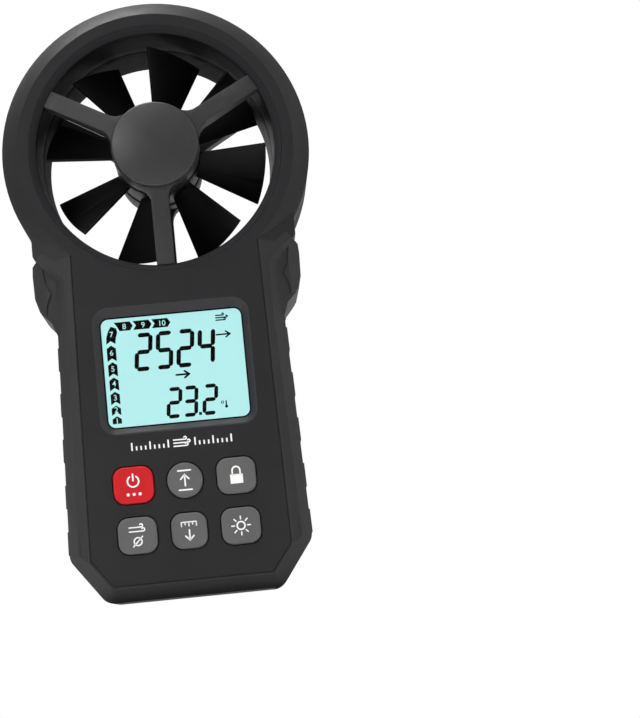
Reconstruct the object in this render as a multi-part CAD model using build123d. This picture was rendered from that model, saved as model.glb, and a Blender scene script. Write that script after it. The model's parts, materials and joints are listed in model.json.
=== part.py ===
from build123d import *
import math
import os

# Handheld vane anemometer, in millimetres.
# X is to the right seen from the front, Y runs from the front face to the back, and Z is up.
# The origin is on the flat foot, under the middle of the case.

# Overall form
DUCT_Z = 123.1  # height of the duct axis
RING_R = 42.5  # outer radius of the ring
FACE_Y = -13.5  # flat front face of the ring and the panel
BACK_Y = 18.4  # flat back face
SPLIT_Y = 2.0  # plane where the two case halves meet
WALL = 2.2
SKIN = 2.0  # thickness of the rubber jacket

# Ring
FRONT_FLAT_R = 38.0  # the front bevel starts here
FRONT_BEVEL = RING_R - FRONT_FLAT_R
BACK_BEVEL = 2.5
LINER_SEAT_R = 34.8  # hole in the case that holds the duct liner
DUCT_WALL_R = 37.0  # outside of the wall around that hole
RING_CAVITY_R = RING_R - WALL

# Handle outline: half widths at heights
FOOT_HALF = 23.5
CORNER_HALF, CORNER_Z = 32.6, 12.4
WAIST_HALF, WAIST_Z, WAIST_TOP_Z = 31.0, 73.5, 88.0
SHOULDER_HALF, SHOULDER_LOW_Z, SHOULDER_Z = 36.2, 96.0, 101.8
RING_JOIN = (28.0, 112.0)  # inside the ring
CORNER_ROUND = 4.0
EDGE_BEVEL = 3.6
CORE_BEVEL = 1.4

# Front and back panels that the rubber jacket frames
PANEL_HALF_LOW, PANEL_HALF_HIGH = 26.6, 25.3
PANEL_FOOT_HALF, PANEL_FOOT_Z = 21.2, 4.4
PANEL_CORNER_Z = 11.6
PANEL_TOP_Z = 100.0
GROOVE, GROOVE_DEPTH = 0.3, 0.4
JACKET_TOP_Z = 94.6

# Slopes that run from the panel out to the sides and shoulders
SLOPE_X, SLOPE = 25.9, 0.35
SLOPE_TURN = 0.8  # degrees, so that the slopes follow the panel's edges
SLOPE_SKIN = 1.6  # thickness of the jacket along the slopes

# Duct liners
LINER_OUT_R = LINER_SEAT_R
LINER_LIP_R = 34.5
LINER_LIP_DEPTH = 1.6
BORE_FRONT_R, BORE_MID_R, BORE_BACK_R = 32.9, 32.4, 31.8

# Guards, one in front of the rotor and one behind it
ARM_WIDTH = 4.8
ARM_ANGLES = (30, 150, 270)
HUB_R = 12.1
ARM_ROOT_ROUND = 4.5
FRONT_HUB_WALL, REAR_HUB_WALL = 1.5, 1.4
HUB_FLOOR = 1.4  # front plate of the rear hub
GUARD_HUB_FRONT = FACE_Y - 1.6
GUARD_RIM_FRONT = FACE_Y + 1.2
GUARD_FRONT_BACK = FACE_Y + 4.7
GUARD_REAR_FRONT = FACE_Y + 27.0
GUARD_REAR_BACK = BACK_Y - 0.6
REAR_HUB_FRONT = FACE_Y + 21.4
CAP_R = 11.9
CAP_PROUD = 3.3

# Rotor
ROTOR_Y = FACE_Y + 13.1
BLADES = 8
BLADE_PHASE = -13.75
BLADE_TIP_R = 30.5
BLADE_PITCH = 45
BLADE_ROOT_CHORD = 7.7
BLADE_TIP_CHORD = 20.6
BLADE_THICK = 0.8
ROTOR_HUB_R, ROTOR_HUB_WALL = 12.0, 1.3
ROTOR_BOSS_R = 2.4
ROTOR_FRONT = FACE_Y + 7.0
ROTOR_BACK = FACE_Y + 19.2
ROTOR_WEB_BACK = ROTOR_FRONT + 1.6  # back of the plate that closes the hub in front
SHAFT_R = 0.75
SHAFT_ENDS = (FACE_Y + 3.5, FACE_Y + 22.9)
BEARING_R = 1.5
BEARING_BORE_R = 0.79
FRONT_BEARING = (FACE_Y + 2.6, FACE_Y + 5.2)  # closed end and open end
REAR_BEARING = (REAR_HUB_FRONT + 2.4, REAR_HUB_FRONT + 0.1)

# Leads and the air temperature sensor
SENSOR_BOARD_BACK = REAR_HUB_FRONT + HUB_FLOOR + 1.0
LEAD_R = 0.65
LEAD_SLOT_HALF = 1.3
LEAD_Y = GUARD_REAR_FRONT + 2.0
LEAD_Z = DUCT_Z - 35.6  # in the wall under the duct
THERMISTOR_X, THERMISTOR_Y = 8.3, FACE_Y + 25.0
THERMISTOR_Z = DUCT_Z - 29.9
SOCKET_Z, SOCKET_TALL = 83.0, 1.5

# Display
LCD_Z = 61.5
LCD_VIEW = (38.9, 30.4)
VIEW_ROUND = 2.4
BEZEL_SIZE = (42.0, 34.4)
BEZEL_Z, BEZEL_ROUND = 61.85, 4.0
BEZEL_DEPTH = 1.5
WINDOW_SIZE = (41.4, 33.4, 1.2)
GLASS_SIZE = (43.0, 36.0, 2.2)
GLASS_FRONT = FACE_Y + 3.0
GUIDE_SIZE = (39.2, 31.2)
STRIP_Z, STRIP_TALL = 16.9, 1.6  # contact strips above and below the middle of the display
BOARD_FRONT = -5.2
BOARD_THICK = 1.6
BOARD_BACK = BOARD_FRONT + BOARD_THICK

# Keys: name, x, z, width, height and corner radius
KEY_X = 13.8
KEY_Z_HIGH, KEY_Z_LOW = 30.7, 17.2
KEYS = (
    ("power_key", -KEY_X, KEY_Z_HIGH, 10.7, 9.8, 3.0),
    ("min_max_key", 0, KEY_Z_HIGH, 9.5, 9.5, 4.7),
    ("set_hold_key", KEY_X, KEY_Z_HIGH, 10.4, 9.7, 3.0),
    ("vel_avg_key", -KEY_X, KEY_Z_LOW, 10.4, 9.7, 3.0),
    ("unit_key", 0, KEY_Z_LOW, 9.5, 9.5, 3.0),
    ("light_key", KEY_X, KEY_Z_LOW, 10.4, 9.7, 3.0),
)
KEY_PROUD = 0.8
KEY_GAP = 0.35
KEY_TRAVEL = 0.6
KEY_FLANGE = 0.8
FLANGE_FRONT, FLANGE_THICK = FACE_Y + WALL + 0.2, 1.2
PILL_R, PILL_THICK = 2.0, 0.5
PILL_GAP = KEY_TRAVEL + 0.1

# Battery, a 9 V block, and its compartment
BATTERY_SIZE = (26.2, 17.2, 46.4)
BATTERY_Z = 17.0
BATTERY_FRONT = -1.9
STUDS = ((-6.35, 2.9), (6.35, 3.8))  # place and radius of the minus and the plus stud
STUD_TALL = 2.2
BATTERY_TOP = BATTERY_Z + BATTERY_SIZE[2]
SNAP_SIZE, SNAP_GAP = (25.6, 12.4, 3.6), 0.3
FOAM_HALF, FOAM_LOW, FOAM_HIGH = 9.0, 30.0, 46.0
POCKET_HALF, POCKET_LOW, POCKET_HIGH = 13.9, 16.4, 72.0
POCKET_FLOOR = -2.4
POCKET_WALL = 1.0
BATTERY_LEAD_X, BATTERY_LEAD_Z = 5.0, POCKET_HIGH - 1.4
COVER_HALF, COVER_LOW, COVER_HIGH = 17.4, 8.4, 74.4
COVER_THICK = 1.9
COVER_GAP = 0.25
COVER_RIM = 1.6  # width of the ledge that the cover lies on
COVER_SCREW_Z = 12.6
COVER_HEAD_R, COVER_HEAD_SEAT_R, COVER_SINK = 2.3, 2.5, 1.1
COVER_INSERT_R, COVER_INSERT_TALL = 1.9, 4.0
LEDGE_FRONT = BACK_Y - COVER_THICK - 1.9
TONGUE_X, TONGUE_WIDTH, TONGUE_LOW = 11.5, 5.0, 70.2
TONGUE_FRONT = BACK_Y - 3.9

# Tripod socket: the tapping size of a 1/4 inch 20 thread
TRIPOD_Z = 79.4
TRIPOD_BORE_R = 2.6
TRIPOD_NUT_R, TRIPOD_WALL = 4.6, 1.7
TRIPOD_DEPTH = 8.0

# Screws
CASE_SCREW_R, CASE_HEAD_R, CASE_HEAD_TALL = 1.2, 2.2, 1.7
RING_SCREW_R, RING_SCREW_ANGLE = 38.2, math.radians(50)
RING_SCREW_X = RING_SCREW_R * math.cos(RING_SCREW_ANGLE)
RING_SCREW_Z = DUCT_Z + RING_SCREW_R * math.sin(RING_SCREW_ANGLE)
CASE_SCREWS = (
    (RING_SCREW_X, RING_SCREW_Z),
    (-RING_SCREW_X, RING_SCREW_Z),
    (30.6, 97.0),
    (-30.6, 97.0),
    (21.4, 8.6),
    (-21.4, 8.6),
)
CASE_BOSS_R, BOARD_POST_R = 2.9, 2.0
CASE_SEAT_Y = BACK_Y - 5.0
BOARD_SCREWS = tuple((side * x, z) for x, z in ((22.4, 24.0), (22.4, 39.2), (21.6, 84.3)) for side in (1, -1))
BOARD_SCREW_R, BOARD_HEAD_R = 0.9, 1.8
SMALL_PART_TALL = 1.2

# Grip pads on the jacket
PAD_PITCH = 6.25
PAD_LOW_Z = 13.9
PADS = 5
PAD_PROUD = 0.3
PAD_INNER_X = 29.4

# Finger wings on the jacket
WING_HALF = 36.8
WING_BACK = 4.0
CHEVRON_PROUD = 0.45


def outline(points):
    """Face from the right half of a symmetric outline, listed from the foot upwards."""
    left = [(-x, z) for x, z in reversed(points) if x > 0]
    return make_face(Polyline(*points, *left, close=True))


def slab(face, y_front, y_back):
    """Solid between two depths from a face drawn in X and Z."""
    return extrude(Plane.XZ.offset(-y_back) * face, amount=y_back - y_front)


def box(x0, x1, y0, y1, z0, z1):
    """Box between two corners."""
    return Pos((x0 + x1) / 2, (y0 + y1) / 2, (z0 + z1) / 2) * Box(x1 - x0, y1 - y0, z1 - z0)


def turned(points, z=DUCT_Z):
    """Solid of revolution about a Y axis at height z, from radius and depth pairs."""
    return Pos(0, 0, z) * revolve(make_face(Polyline(*points, close=True)), Axis.Y, 360)


def rod(x, z, radius, y_front, y_back):
    """Cylinder along Y."""
    return slab(Pos(x, z) * Circle(radius), y_front, y_back)


def rounded(x, z, width, height, radius, y_front, y_back):
    """Block with rounded corners, seen from the front."""
    return slab(Pos(x, z) * RectangleRounded(width, height, radius), y_front, y_back)


def cross_slot(x, z, reach, y_bottom):
    """Cross recess of a screw head."""
    half_width = 0.28
    along = box(x - reach, x + reach, y_bottom, BACK_Y, z - half_width, z + half_width)
    return along + box(x - half_width, x + half_width, y_bottom, BACK_Y, z - reach, z + reach)


def joined(solids):
    """Union of several solids."""
    total = solids[0]
    for solid in solids[1:]:
        total = total + solid
    return total


def lead(points, bend, radius):
    """Insulated wire along straight runs joined by bends."""
    path = FilletPolyline(*points, radius=bend)
    start = Plane(origin=path @ 0, z_dir=path % 0)
    return sweep(start * Circle(radius), path=path)


# Envelope of the case

def handle_face(grow=0.0, inset=0.0):
    """Outline of the handle, without the finger wings."""
    side = grow - inset
    slope = math.hypot(CORNER_HALF - FOOT_HALF, CORNER_Z)
    shift = side * slope / CORNER_Z
    points = [
        (FOOT_HALF + shift - side * (CORNER_HALF - FOOT_HALF) / CORNER_Z, -side),
        (CORNER_HALF + side, CORNER_Z - side * 0.35),
        (WAIST_HALF + side, WAIST_Z),
        (WAIST_HALF + side, WAIST_TOP_Z),
        (SHOULDER_HALF + side, SHOULDER_LOW_Z),
        (SHOULDER_HALF + side, SHOULDER_Z),
        RING_JOIN,
    ]
    return outline(points)


def bevelled(face, y_front, y_back, bevel):
    """Slab whose edges are bevelled to the front and the back, up to the ring."""
    body = slab(face, y_front, y_back)
    rims = [e for e in body.edges() if min(abs(e.center().Y - y_front), abs(e.center().Y - y_back)) < 0.01]
    rims = [e for e in rims if e.center().Z < 104]
    return chamfer(rims, bevel)


def side_slopes(depth=0.0):
    """Space in front of the slopes beside the panel, set back by a depth."""
    reach = 40
    front = FACE_Y + depth
    points = [(0, front), (reach, front + SLOPE * reach), (reach, front - reach), (0, front - reach)]
    profile = make_face(Polyline(*points, close=True))
    right = Pos(SLOPE_X, 0, PANEL_TOP_Z) * Rot(0, -SLOPE_TURN, 0) * extrude(profile, amount=130, both=True)
    return right + mirror(right, Plane.YZ)


def handle_body():
    """Solid handle with bevelled long edges and sloping shoulders."""
    face = handle_face()
    corners = [v for v in face.vertices() if v.Y < CORNER_Z + 1]
    return bevelled(fillet(corners, CORNER_ROUND), FACE_Y, BACK_Y, EDGE_BEVEL) - side_slopes()


def inner_body():
    """Space inside the rubber jacket."""
    body = bevelled(handle_face(inset=SKIN), FACE_Y + SKIN, BACK_Y - SKIN, CORE_BEVEL)
    return body - side_slopes(SLOPE_SKIN)


def ring_body():
    """Solid disc of the ring with its two bevels."""
    return turned(
        [
            (0, FACE_Y),
            (FRONT_FLAT_R, FACE_Y),
            (RING_R, FACE_Y + FRONT_BEVEL),
            (RING_R, BACK_Y - BACK_BEVEL),
            (RING_R - BACK_BEVEL, BACK_Y),
            (0, BACK_Y),
        ]
    )


def panel_face(inset=0.0):
    """Outline of the flat panel, shared by the front and the back."""
    return outline(
        [
            (PANEL_FOOT_HALF - inset * 0.5, PANEL_FOOT_Z + inset),
            (PANEL_HALF_LOW - inset, PANEL_CORNER_Z + inset * 0.5),
            (PANEL_HALF_HIGH - inset, PANEL_TOP_Z),
        ]
    )


def shoulder_region():
    """Everything above the top edge of the jacket, as a thick slab."""
    top = JACKET_TOP_Z
    edge = [(0, top), (26.0, top), (30.2, top - 0.7), (33.6, top + 2.0), (36.6, top - 0.8), (60.0, top - 0.8)]
    return slab(outline(edge + [(60.0, 200.0)]), FACE_Y - 10, BACK_Y + 10)


def core_body():
    """Hard inner body of the handle, before it is hollowed."""
    front = slab(panel_face(), FACE_Y, FACE_Y + SKIN)
    back = slab(panel_face(), BACK_Y - SKIN, BACK_Y)
    shoulders = handle_body() & shoulder_region()
    return inner_body() + front + back + shoulders


def case_cavity():
    """Hollow of the closed case."""
    front = slab(panel_face(inset=WALL), FACE_Y + WALL, SPLIT_Y)
    back = slab(panel_face(inset=WALL), SPLIT_Y, BACK_Y - WALL)
    wide = slab(handle_face(inset=SKIN + WALL), FACE_Y + SKIN + WALL, BACK_Y - SKIN - WALL)
    bevel_shift = 0.9  # keeps the wall even round the bevel
    ring = turned(
        [
            (DUCT_WALL_R - 6, FACE_Y + WALL),
            (FRONT_FLAT_R - bevel_shift, FACE_Y + WALL),
            (RING_CAVITY_R, FACE_Y + FRONT_BEVEL + bevel_shift),
            (RING_CAVITY_R, BACK_Y - WALL - 1.0),
            (RING_CAVITY_R - 1.0, BACK_Y - WALL),
            (DUCT_WALL_R - 6, BACK_Y - WALL),
        ]
    )
    return front + back + wide + ring - rod(0, DUCT_Z, DUCT_WALL_R, FACE_Y, BACK_Y)


def half(solid, y_front, y_back):
    """Part of a solid between two depths."""
    return solid & box(-60, 60, y_front, y_back, -20, 200)


# Case halves

def closed_case():
    """Both halves as one solid, before it is hollowed, with the hole for the duct liners."""
    return core_body() + ring_body() - rod(0, DUCT_Z, LINER_SEAT_R, FACE_Y - 1, BACK_Y + 1)


def lead_slot():
    """Slot through the wall under the duct, where the sensor lead comes down."""
    reach = LEAD_SLOT_HALF
    return box(-reach, reach, FACE_Y + 12, FACE_Y + 30.4, LEAD_Z - 2.3, LEAD_Z + 1.5)


def thermistor_slot():
    """Hole through the wall under the duct for the thermistor lead."""
    reach = 1.6
    x = THERMISTOR_X + 1.3
    return box(x - reach, x + reach, THERMISTOR_Y - reach, THERMISTOR_Y + reach, LEAD_Z - 4, LEAD_Z + 4)


def front_case(solid, cavity):
    """Front half: panel, display opening, key holes and screw posts."""
    hollow = half(cavity, FACE_Y - 1, SPLIT_Y)
    for x, z in CASE_SCREWS:
        hollow -= rod(x, z, CASE_BOSS_R - 0.3, FACE_Y - 1, SPLIT_Y + 1)
    for x, z in BOARD_SCREWS:
        hollow -= rod(x, z, BOARD_POST_R, FACE_Y - 1, BOARD_FRONT)
    body = half(solid, FACE_Y - 1, SPLIT_Y) - hollow
    bezel = loft(
        [
            Plane.XZ.offset(-FACE_Y) * Pos(0, BEZEL_Z) * RectangleRounded(*BEZEL_SIZE, BEZEL_ROUND),
            Plane.XZ.offset(-FACE_Y - BEZEL_DEPTH) * Pos(0, LCD_Z) * RectangleRounded(*LCD_VIEW, VIEW_ROUND),
        ]
    )
    body -= bezel
    body -= rounded(0, LCD_Z, *LCD_VIEW, VIEW_ROUND, FACE_Y + BEZEL_DEPTH - 0.1, FACE_Y + WALL + 1)
    seat = (WINDOW_SIZE[0] + 0.2, WINDOW_SIZE[1] + 0.2)
    body -= rounded(0, LCD_Z, *seat, 1.6, FACE_Y + BEZEL_DEPTH, FACE_Y + WALL + 1)
    for _, x, z, width, height, radius in KEYS:
        hole = (width + 2 * KEY_GAP, height + 2 * KEY_GAP, radius + KEY_GAP)
        body -= rounded(x, z, *hole, FACE_Y - 1, FACE_Y + WALL + 1)
    for x, z in CASE_SCREWS:
        body -= rod(x, z, CASE_SCREW_R + 0.05, SPLIT_Y - 9, SPLIT_Y + 1)
    for x, z in BOARD_SCREWS:
        body -= rod(x, z, BOARD_SCREW_R + 0.05, BOARD_FRONT - 4, BOARD_FRONT + 1)
    return body - lead_slot()


def battery_pocket():
    """Walls of the battery compartment, which reach forward of the split."""
    wall = POCKET_WALL
    half_width = POCKET_HALF + wall
    low, high = POCKET_LOW - wall, POCKET_HIGH + wall
    outer = box(-half_width, half_width, POCKET_FLOOR - wall, BACK_Y - WALL, low, high)
    rim = COVER_HALF + COVER_RIM
    ledge = box(-rim, rim, LEDGE_FRONT, BACK_Y - 1.0, COVER_LOW - COVER_RIM, COVER_HIGH + 0.6)
    screw_post = rod(0, COVER_SCREW_Z, 3.2, 6.0, LEDGE_FRONT)
    return outer + ledge + screw_post


def battery_opening():
    """Space of the battery, the cover recess and the slots of the cover's tongues."""
    hollow = box(-POCKET_HALF, POCKET_HALF, POCKET_FLOOR, BACK_Y + 1, POCKET_LOW, POCKET_HIGH)
    middle = (COVER_LOW + COVER_HIGH) / 2
    tall = COVER_HIGH - COVER_LOW
    recess = rounded(0, middle, 2 * COVER_HALF, tall, 2.5, BACK_Y - COVER_THICK - 0.1, BACK_Y + 1)
    hollow = hollow + recess
    for side in (-1, 1):
        x = side * TONGUE_X
        reach = TONGUE_WIDTH / 2 + 0.4
        low = TONGUE_LOW - 2.6
        front = TONGUE_FRONT - 1.0
        hollow += box(x - reach, x + reach, front, BACK_Y - COVER_THICK, low, COVER_HIGH)
        hollow += box(x - reach, x + reach, front, BACK_Y - 2.3, low, COVER_HIGH + 2.6)
    return hollow


def rear_case(solid, cavity):
    """Back half: battery compartment, tripod boss and screw tubes."""
    hollow = half(cavity, SPLIT_Y, BACK_Y + 1)
    for x, z in CASE_SCREWS:
        hollow -= rod(x, z, CASE_BOSS_R, SPLIT_Y - 1, BACK_Y + 1)
    hollow -= rod(0, TRIPOD_Z, TRIPOD_NUT_R + TRIPOD_WALL, BACK_Y - TRIPOD_DEPTH - 1.8, BACK_Y + 1)
    pocket = battery_pocket()
    hollow -= pocket
    body = half(solid, SPLIT_Y, BACK_Y + 1) - hollow
    body += half(pocket, POCKET_FLOOR - 5, SPLIT_Y)
    body -= battery_opening()
    for x, z in CASE_SCREWS:
        body -= rod(x, z, CASE_SCREW_R + 0.2, SPLIT_Y - 1, BACK_Y + 1)
        body -= rod(x, z, CASE_HEAD_R + 0.2, CASE_SEAT_Y, BACK_Y + 1)
    body -= rod(0, TRIPOD_Z, TRIPOD_NUT_R, BACK_Y - TRIPOD_DEPTH, BACK_Y + 1)
    body -= rod(0, COVER_SCREW_Z, COVER_INSERT_R, LEDGE_FRONT - COVER_INSERT_TALL, BACK_Y)
    for x in (-BATTERY_LEAD_X, BATTERY_LEAD_X):
        body -= rod(x, BATTERY_LEAD_Z, 1.0, POCKET_FLOOR - 2, POCKET_FLOOR + 1)
    return body - lead_slot() - thermistor_slot()


# Rubber jacket

def wing_part(side, proud):
    """Part of the right finger wing: an outline from the front, cut to the wing's section."""
    front, back = FACE_Y + 2.9 - proud, BACK_Y - WING_BACK
    edge = WING_HALF + proud
    across = [
        (26.0, front),
        (30.2, front),
        (33.6, front + 0.8),
        (edge, front + 3.6),
        (edge, back - 3.0),
        (33.2, back),
        (26.0, back),
    ]
    body = slab(make_face(Polyline(*side, close=True)), FACE_Y, BACK_Y)
    return body & Pos(0, 0, 70) * extrude(make_face(Polyline(*across, close=True)), amount=30)


def wing():
    """Finger wing on the right side, under the ring, with a raised chevron on its outer part."""
    low = [(27, 72.5), (31.0, 73.5), (32.3, 77.0), (35.0, 80.0)]
    high = [(36.3, 84.5), (36.5, 91.0), (36.2, 97.0), (27, 97.0)]
    chevron_in = [(34.1, 94.0), (33.3, 88.0), (31.9, 85.2), (33.3, 82.2), (33.6, 79.4)]
    chevron_out = [(35.4, 80.6), (36.6, 84.5), (36.8, 91.0), (36.6, 93.6)]
    return wing_part(low + high, 0) + wing_part(chevron_in + chevron_out, CHEVRON_PROUD)


def grip_pads():
    """Raised pads on the long sides."""
    wide = bevelled(handle_face(grow=PAD_PROUD), FACE_Y + 0.5, BACK_Y - 0.5, EDGE_BEVEL)
    bands = []
    for i in range(PADS):
        low = PAD_LOW_Z + 2 * i * PAD_PITCH
        for side in (-1, 1):
            inner, outer = sorted((side * PAD_INNER_X, side * 40))
            bands.append(box(inner, outer, FACE_Y, BACK_Y, low, low + PAD_PITCH))
    return wide & joined(bands)


def jacket():
    """Rubber jacket around the sides and foot of the handle, still in one piece."""
    right = wing()
    body = handle_body() + right + mirror(right, Plane.YZ) + grip_pads()
    body = body - shoulder_region()
    body -= inner_body()
    body -= slab(panel_face(inset=-GROOVE), FACE_Y - 1, FACE_Y + GROOVE_DEPTH)
    body -= slab(panel_face(), FACE_Y, FACE_Y + SKIN)
    body -= slab(panel_face(inset=-GROOVE), BACK_Y - GROOVE_DEPTH, BACK_Y + 1)
    body -= slab(panel_face(), BACK_Y - SKIN, BACK_Y)
    return body - ring_body()


# Duct: liners, guards and hub caps

def front_liner():
    """Front half of the duct wall, with its bevelled lip."""
    return turned(
        [
            (LINER_OUT_R, FACE_Y),
            (LINER_OUT_R, SPLIT_Y - 0.05),
            (BORE_MID_R, SPLIT_Y - 0.05),
            (BORE_FRONT_R, FACE_Y + LINER_LIP_DEPTH),
            (LINER_LIP_R, FACE_Y),
        ]
    )


def rear_liner():
    """Back half of the duct wall."""
    body = turned(
        [
            (LINER_OUT_R, SPLIT_Y + 0.15),
            (LINER_OUT_R, BACK_Y),
            (BORE_BACK_R + 1.0, BACK_Y),
            (BORE_BACK_R, BACK_Y - 1.0),
            (BORE_MID_R, SPLIT_Y + 0.15),
        ]
    )
    reach = LEAD_SLOT_HALF
    body -= box(-reach, reach, LEAD_Y - reach, LEAD_Y + reach, LEAD_Z - 1, LEAD_Z + 7)
    x, y = THERMISTOR_X + 0.4, THERMISTOR_Y
    return body - box(x - 1.7, x + 1.7, y - 1.6, y + 1.6, LEAD_Z - 1, LEAD_Z + 7)


def duct_space():
    """Tapered space inside the liners."""
    return turned(
        [
            (0, FACE_Y - 10),
            (BORE_FRONT_R, FACE_Y - 10),
            (BORE_FRONT_R, FACE_Y + LINER_LIP_DEPTH),
            (BORE_MID_R, SPLIT_Y),
            (BORE_BACK_R, BACK_Y - 1.0),
            (BORE_BACK_R, BACK_Y + 10),
            (0, BACK_Y + 10),
        ]
    )


def spider_face():
    """Hub disc and three arms, seen from the front, with rounded roots."""
    face = Sketch() + Circle(HUB_R)
    for angle in ARM_ANGLES:
        face += Rot(0, 0, angle) * Pos(20, 0) * Rectangle(40, ARM_WIDTH)
    roots = [v for v in face.vertices() if math.hypot(v.X, v.Y) < HUB_R + 1]
    return Pos(0, DUCT_Z) * fillet(roots, ARM_ROOT_ROUND)


def front_guard():
    """Three-armed guard with the front bearing boss."""
    envelope = turned(
        [
            (0, GUARD_HUB_FRONT),
            (HUB_R, GUARD_HUB_FRONT),
            (BORE_FRONT_R, GUARD_RIM_FRONT),
            (BORE_FRONT_R, GUARD_FRONT_BACK),
            (0, GUARD_FRONT_BACK),
        ]
    )
    body = slab(spider_face(), GUARD_HUB_FRONT - 1, GUARD_FRONT_BACK + 1) & envelope & duct_space()
    body -= rod(0, DUCT_Z, HUB_R - FRONT_HUB_WALL, GUARD_HUB_FRONT + 3.0, GUARD_FRONT_BACK + 1)
    body += rod(0, DUCT_Z, 3.2, GUARD_HUB_FRONT + 2.5, GUARD_FRONT_BACK + 0.8)
    return body - rod(0, DUCT_Z, BEARING_R, FRONT_BEARING[0], GUARD_FRONT_BACK + 2)


def rear_guard():
    """Three-armed guard behind the rotor, whose hub holds the sensor."""
    body = slab(spider_face(), GUARD_REAR_FRONT, GUARD_REAR_BACK) & duct_space()
    body += rod(0, DUCT_Z, HUB_R, REAR_HUB_FRONT, GUARD_REAR_BACK)
    body -= rod(0, DUCT_Z, HUB_R - REAR_HUB_WALL, REAR_HUB_FRONT + HUB_FLOOR, GUARD_REAR_BACK + 1)
    body += rod(0, DUCT_Z, 2.9, REAR_HUB_FRONT + 1, REAR_HUB_FRONT + 3.6)
    body -= rod(0, DUCT_Z, BEARING_R, REAR_HUB_FRONT - 1, REAR_BEARING[0])
    tunnel = Pos(0, LEAD_Y, DUCT_Z - 22) * Cylinder(1.0, 26)
    return body - tunnel


def front_hub_cap():
    """Shallow domed cap on the front hub."""
    base, top = GUARD_HUB_FRONT, GUARD_HUB_FRONT - CAP_PROUD
    dome_edge = base - 1.5
    dome_half = CAP_R - 0.4
    sphere_r = (dome_half**2 + (dome_edge - top) ** 2) / (2 * (dome_edge - top))
    dome = Pos(0, top + sphere_r, DUCT_Z) * Sphere(sphere_r)
    body = rod(0, DUCT_Z, CAP_R, top - 1, base) & dome
    rim = [e for e in body.edges() if e.center().Y < base - 0.5]
    return fillet(rim, 0.6)


def rear_hub_cap():
    """Disc that closes the rear hub."""
    body = rod(0, DUCT_Z, HUB_R - REAR_HUB_WALL - 0.1, GUARD_REAR_BACK - 1.4, GUARD_REAR_BACK)
    rim = [e for e in body.edges() if abs(e.center().Y - GUARD_REAR_BACK) < 0.01]
    return chamfer(rim, 0.5)


def jewel_bearing(y_closed, y_open):
    """Jewel cup with a blind bore that opens towards the rotor."""
    low, high = sorted((y_closed, y_open))
    direction = 1 if y_open > y_closed else -1
    body = rod(0, DUCT_Z, BEARING_R, low, high)
    bore = sorted((y_closed + direction * 0.8, y_open + direction))
    return body - rod(0, DUCT_Z, BEARING_BORE_R, *bore)


# Rotor

def blade():
    """Flat blade set at the pitch angle, lying along +X from the hub."""
    root, tip = ROTOR_HUB_R - 0.6, BLADE_TIP_R + 1
    start_half = BLADE_ROOT_CHORD / 2
    end_half = BLADE_TIP_CHORD / 2 + 0.4
    face = make_face(
        Polyline((root, -start_half), (tip, -end_half), (tip, end_half), (root, start_half), close=True)
    )
    plate = extrude(face, amount=BLADE_THICK / 2, both=True)
    turned_plate = Rot(BLADE_PITCH - 90, 0, 0) * plate
    reach = Rot(90, 0, 0) * Cylinder(BLADE_TIP_R, 60)
    return turned_plate & reach


def impeller():
    """Hub cup and eight blades, moulded in one piece."""
    hub = turned(
        [
            (SHAFT_R, ROTOR_FRONT),
            (ROTOR_HUB_R - 1.0, ROTOR_FRONT),
            (ROTOR_HUB_R, ROTOR_FRONT + 1.0),
            (ROTOR_HUB_R, ROTOR_BACK),
            (ROTOR_HUB_R - ROTOR_HUB_WALL, ROTOR_BACK),
            (ROTOR_HUB_R - ROTOR_HUB_WALL, ROTOR_WEB_BACK),
            (ROTOR_BOSS_R, ROTOR_WEB_BACK),
            (ROTOR_BOSS_R, ROTOR_BACK - 2.0),
            (SHAFT_R, ROTOR_BACK - 2.0),
        ]
    )
    single = blade()
    blades = []
    for i in range(BLADES):
        turn = -(BLADE_PHASE + i * 360 / BLADES)
        blades.append(Pos(0, ROTOR_Y, DUCT_Z) * Rot(0, turn, 0) * single)
    hollow = rod(0, DUCT_Z, ROTOR_HUB_R - ROTOR_HUB_WALL, ROTOR_WEB_BACK, ROTOR_BACK)
    return hub + (joined(blades) - hollow)


def rotor_shaft():
    """Steel shaft with pointed pivots."""
    front, back = SHAFT_ENDS
    return turned(
        [
            (0, front),
            (SHAFT_R, front + 0.8),
            (SHAFT_R, back - 0.8),
            (0, back),
        ]
    )


def rotor_magnet():
    """Ring magnet around the impeller's boss."""
    body = rod(0, DUCT_Z, 5.2, ROTOR_BACK - 3.4, ROTOR_BACK - 1.0)
    return body - rod(0, DUCT_Z, ROTOR_BOSS_R + 0.05, ROTOR_BACK - 4, ROTOR_BACK)


# Sensors

def sensor_board():
    """Small annular circuit board in the rear hub."""
    front = REAR_HUB_FRONT + HUB_FLOOR
    body = rod(0, DUCT_Z, HUB_R - REAR_HUB_WALL - 0.2, front, SENSOR_BOARD_BACK)
    return body - rod(0, DUCT_Z, 3.0, front - 1, front + 2)


def hall_sensor():
    """Hall-effect chip over the path of the magnet."""
    front = SENSOR_BOARD_BACK
    return box(-2.0, 2.0, front, front + 1.3, DUCT_Z - 6.4, DUCT_Z - 3.4)


def sensor_lead():
    """Lead from the sensor board down the lower arm to the main board."""
    y_drop = 0.6
    z_hub = DUCT_Z - 8.6
    points = [
        (0, SENSOR_BOARD_BACK, z_hub),
        (0, LEAD_Y, z_hub),
        (0, LEAD_Y, LEAD_Z),
        (0, y_drop, LEAD_Z),
        (0, y_drop, SOCKET_Z),
        (0, BOARD_BACK + SOCKET_TALL, SOCKET_Z),
    ]
    return lead(points, 1.2, LEAD_R)


def thermistor():
    """Bead of the air temperature sensor, just inside the duct."""
    body = Pos(THERMISTOR_X, THERMISTOR_Y, THERMISTOR_Z) * Rot(90, 0, 0) * Cylinder(1.1, 2.9)
    return fillet(body.edges(), 0.5)


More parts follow.
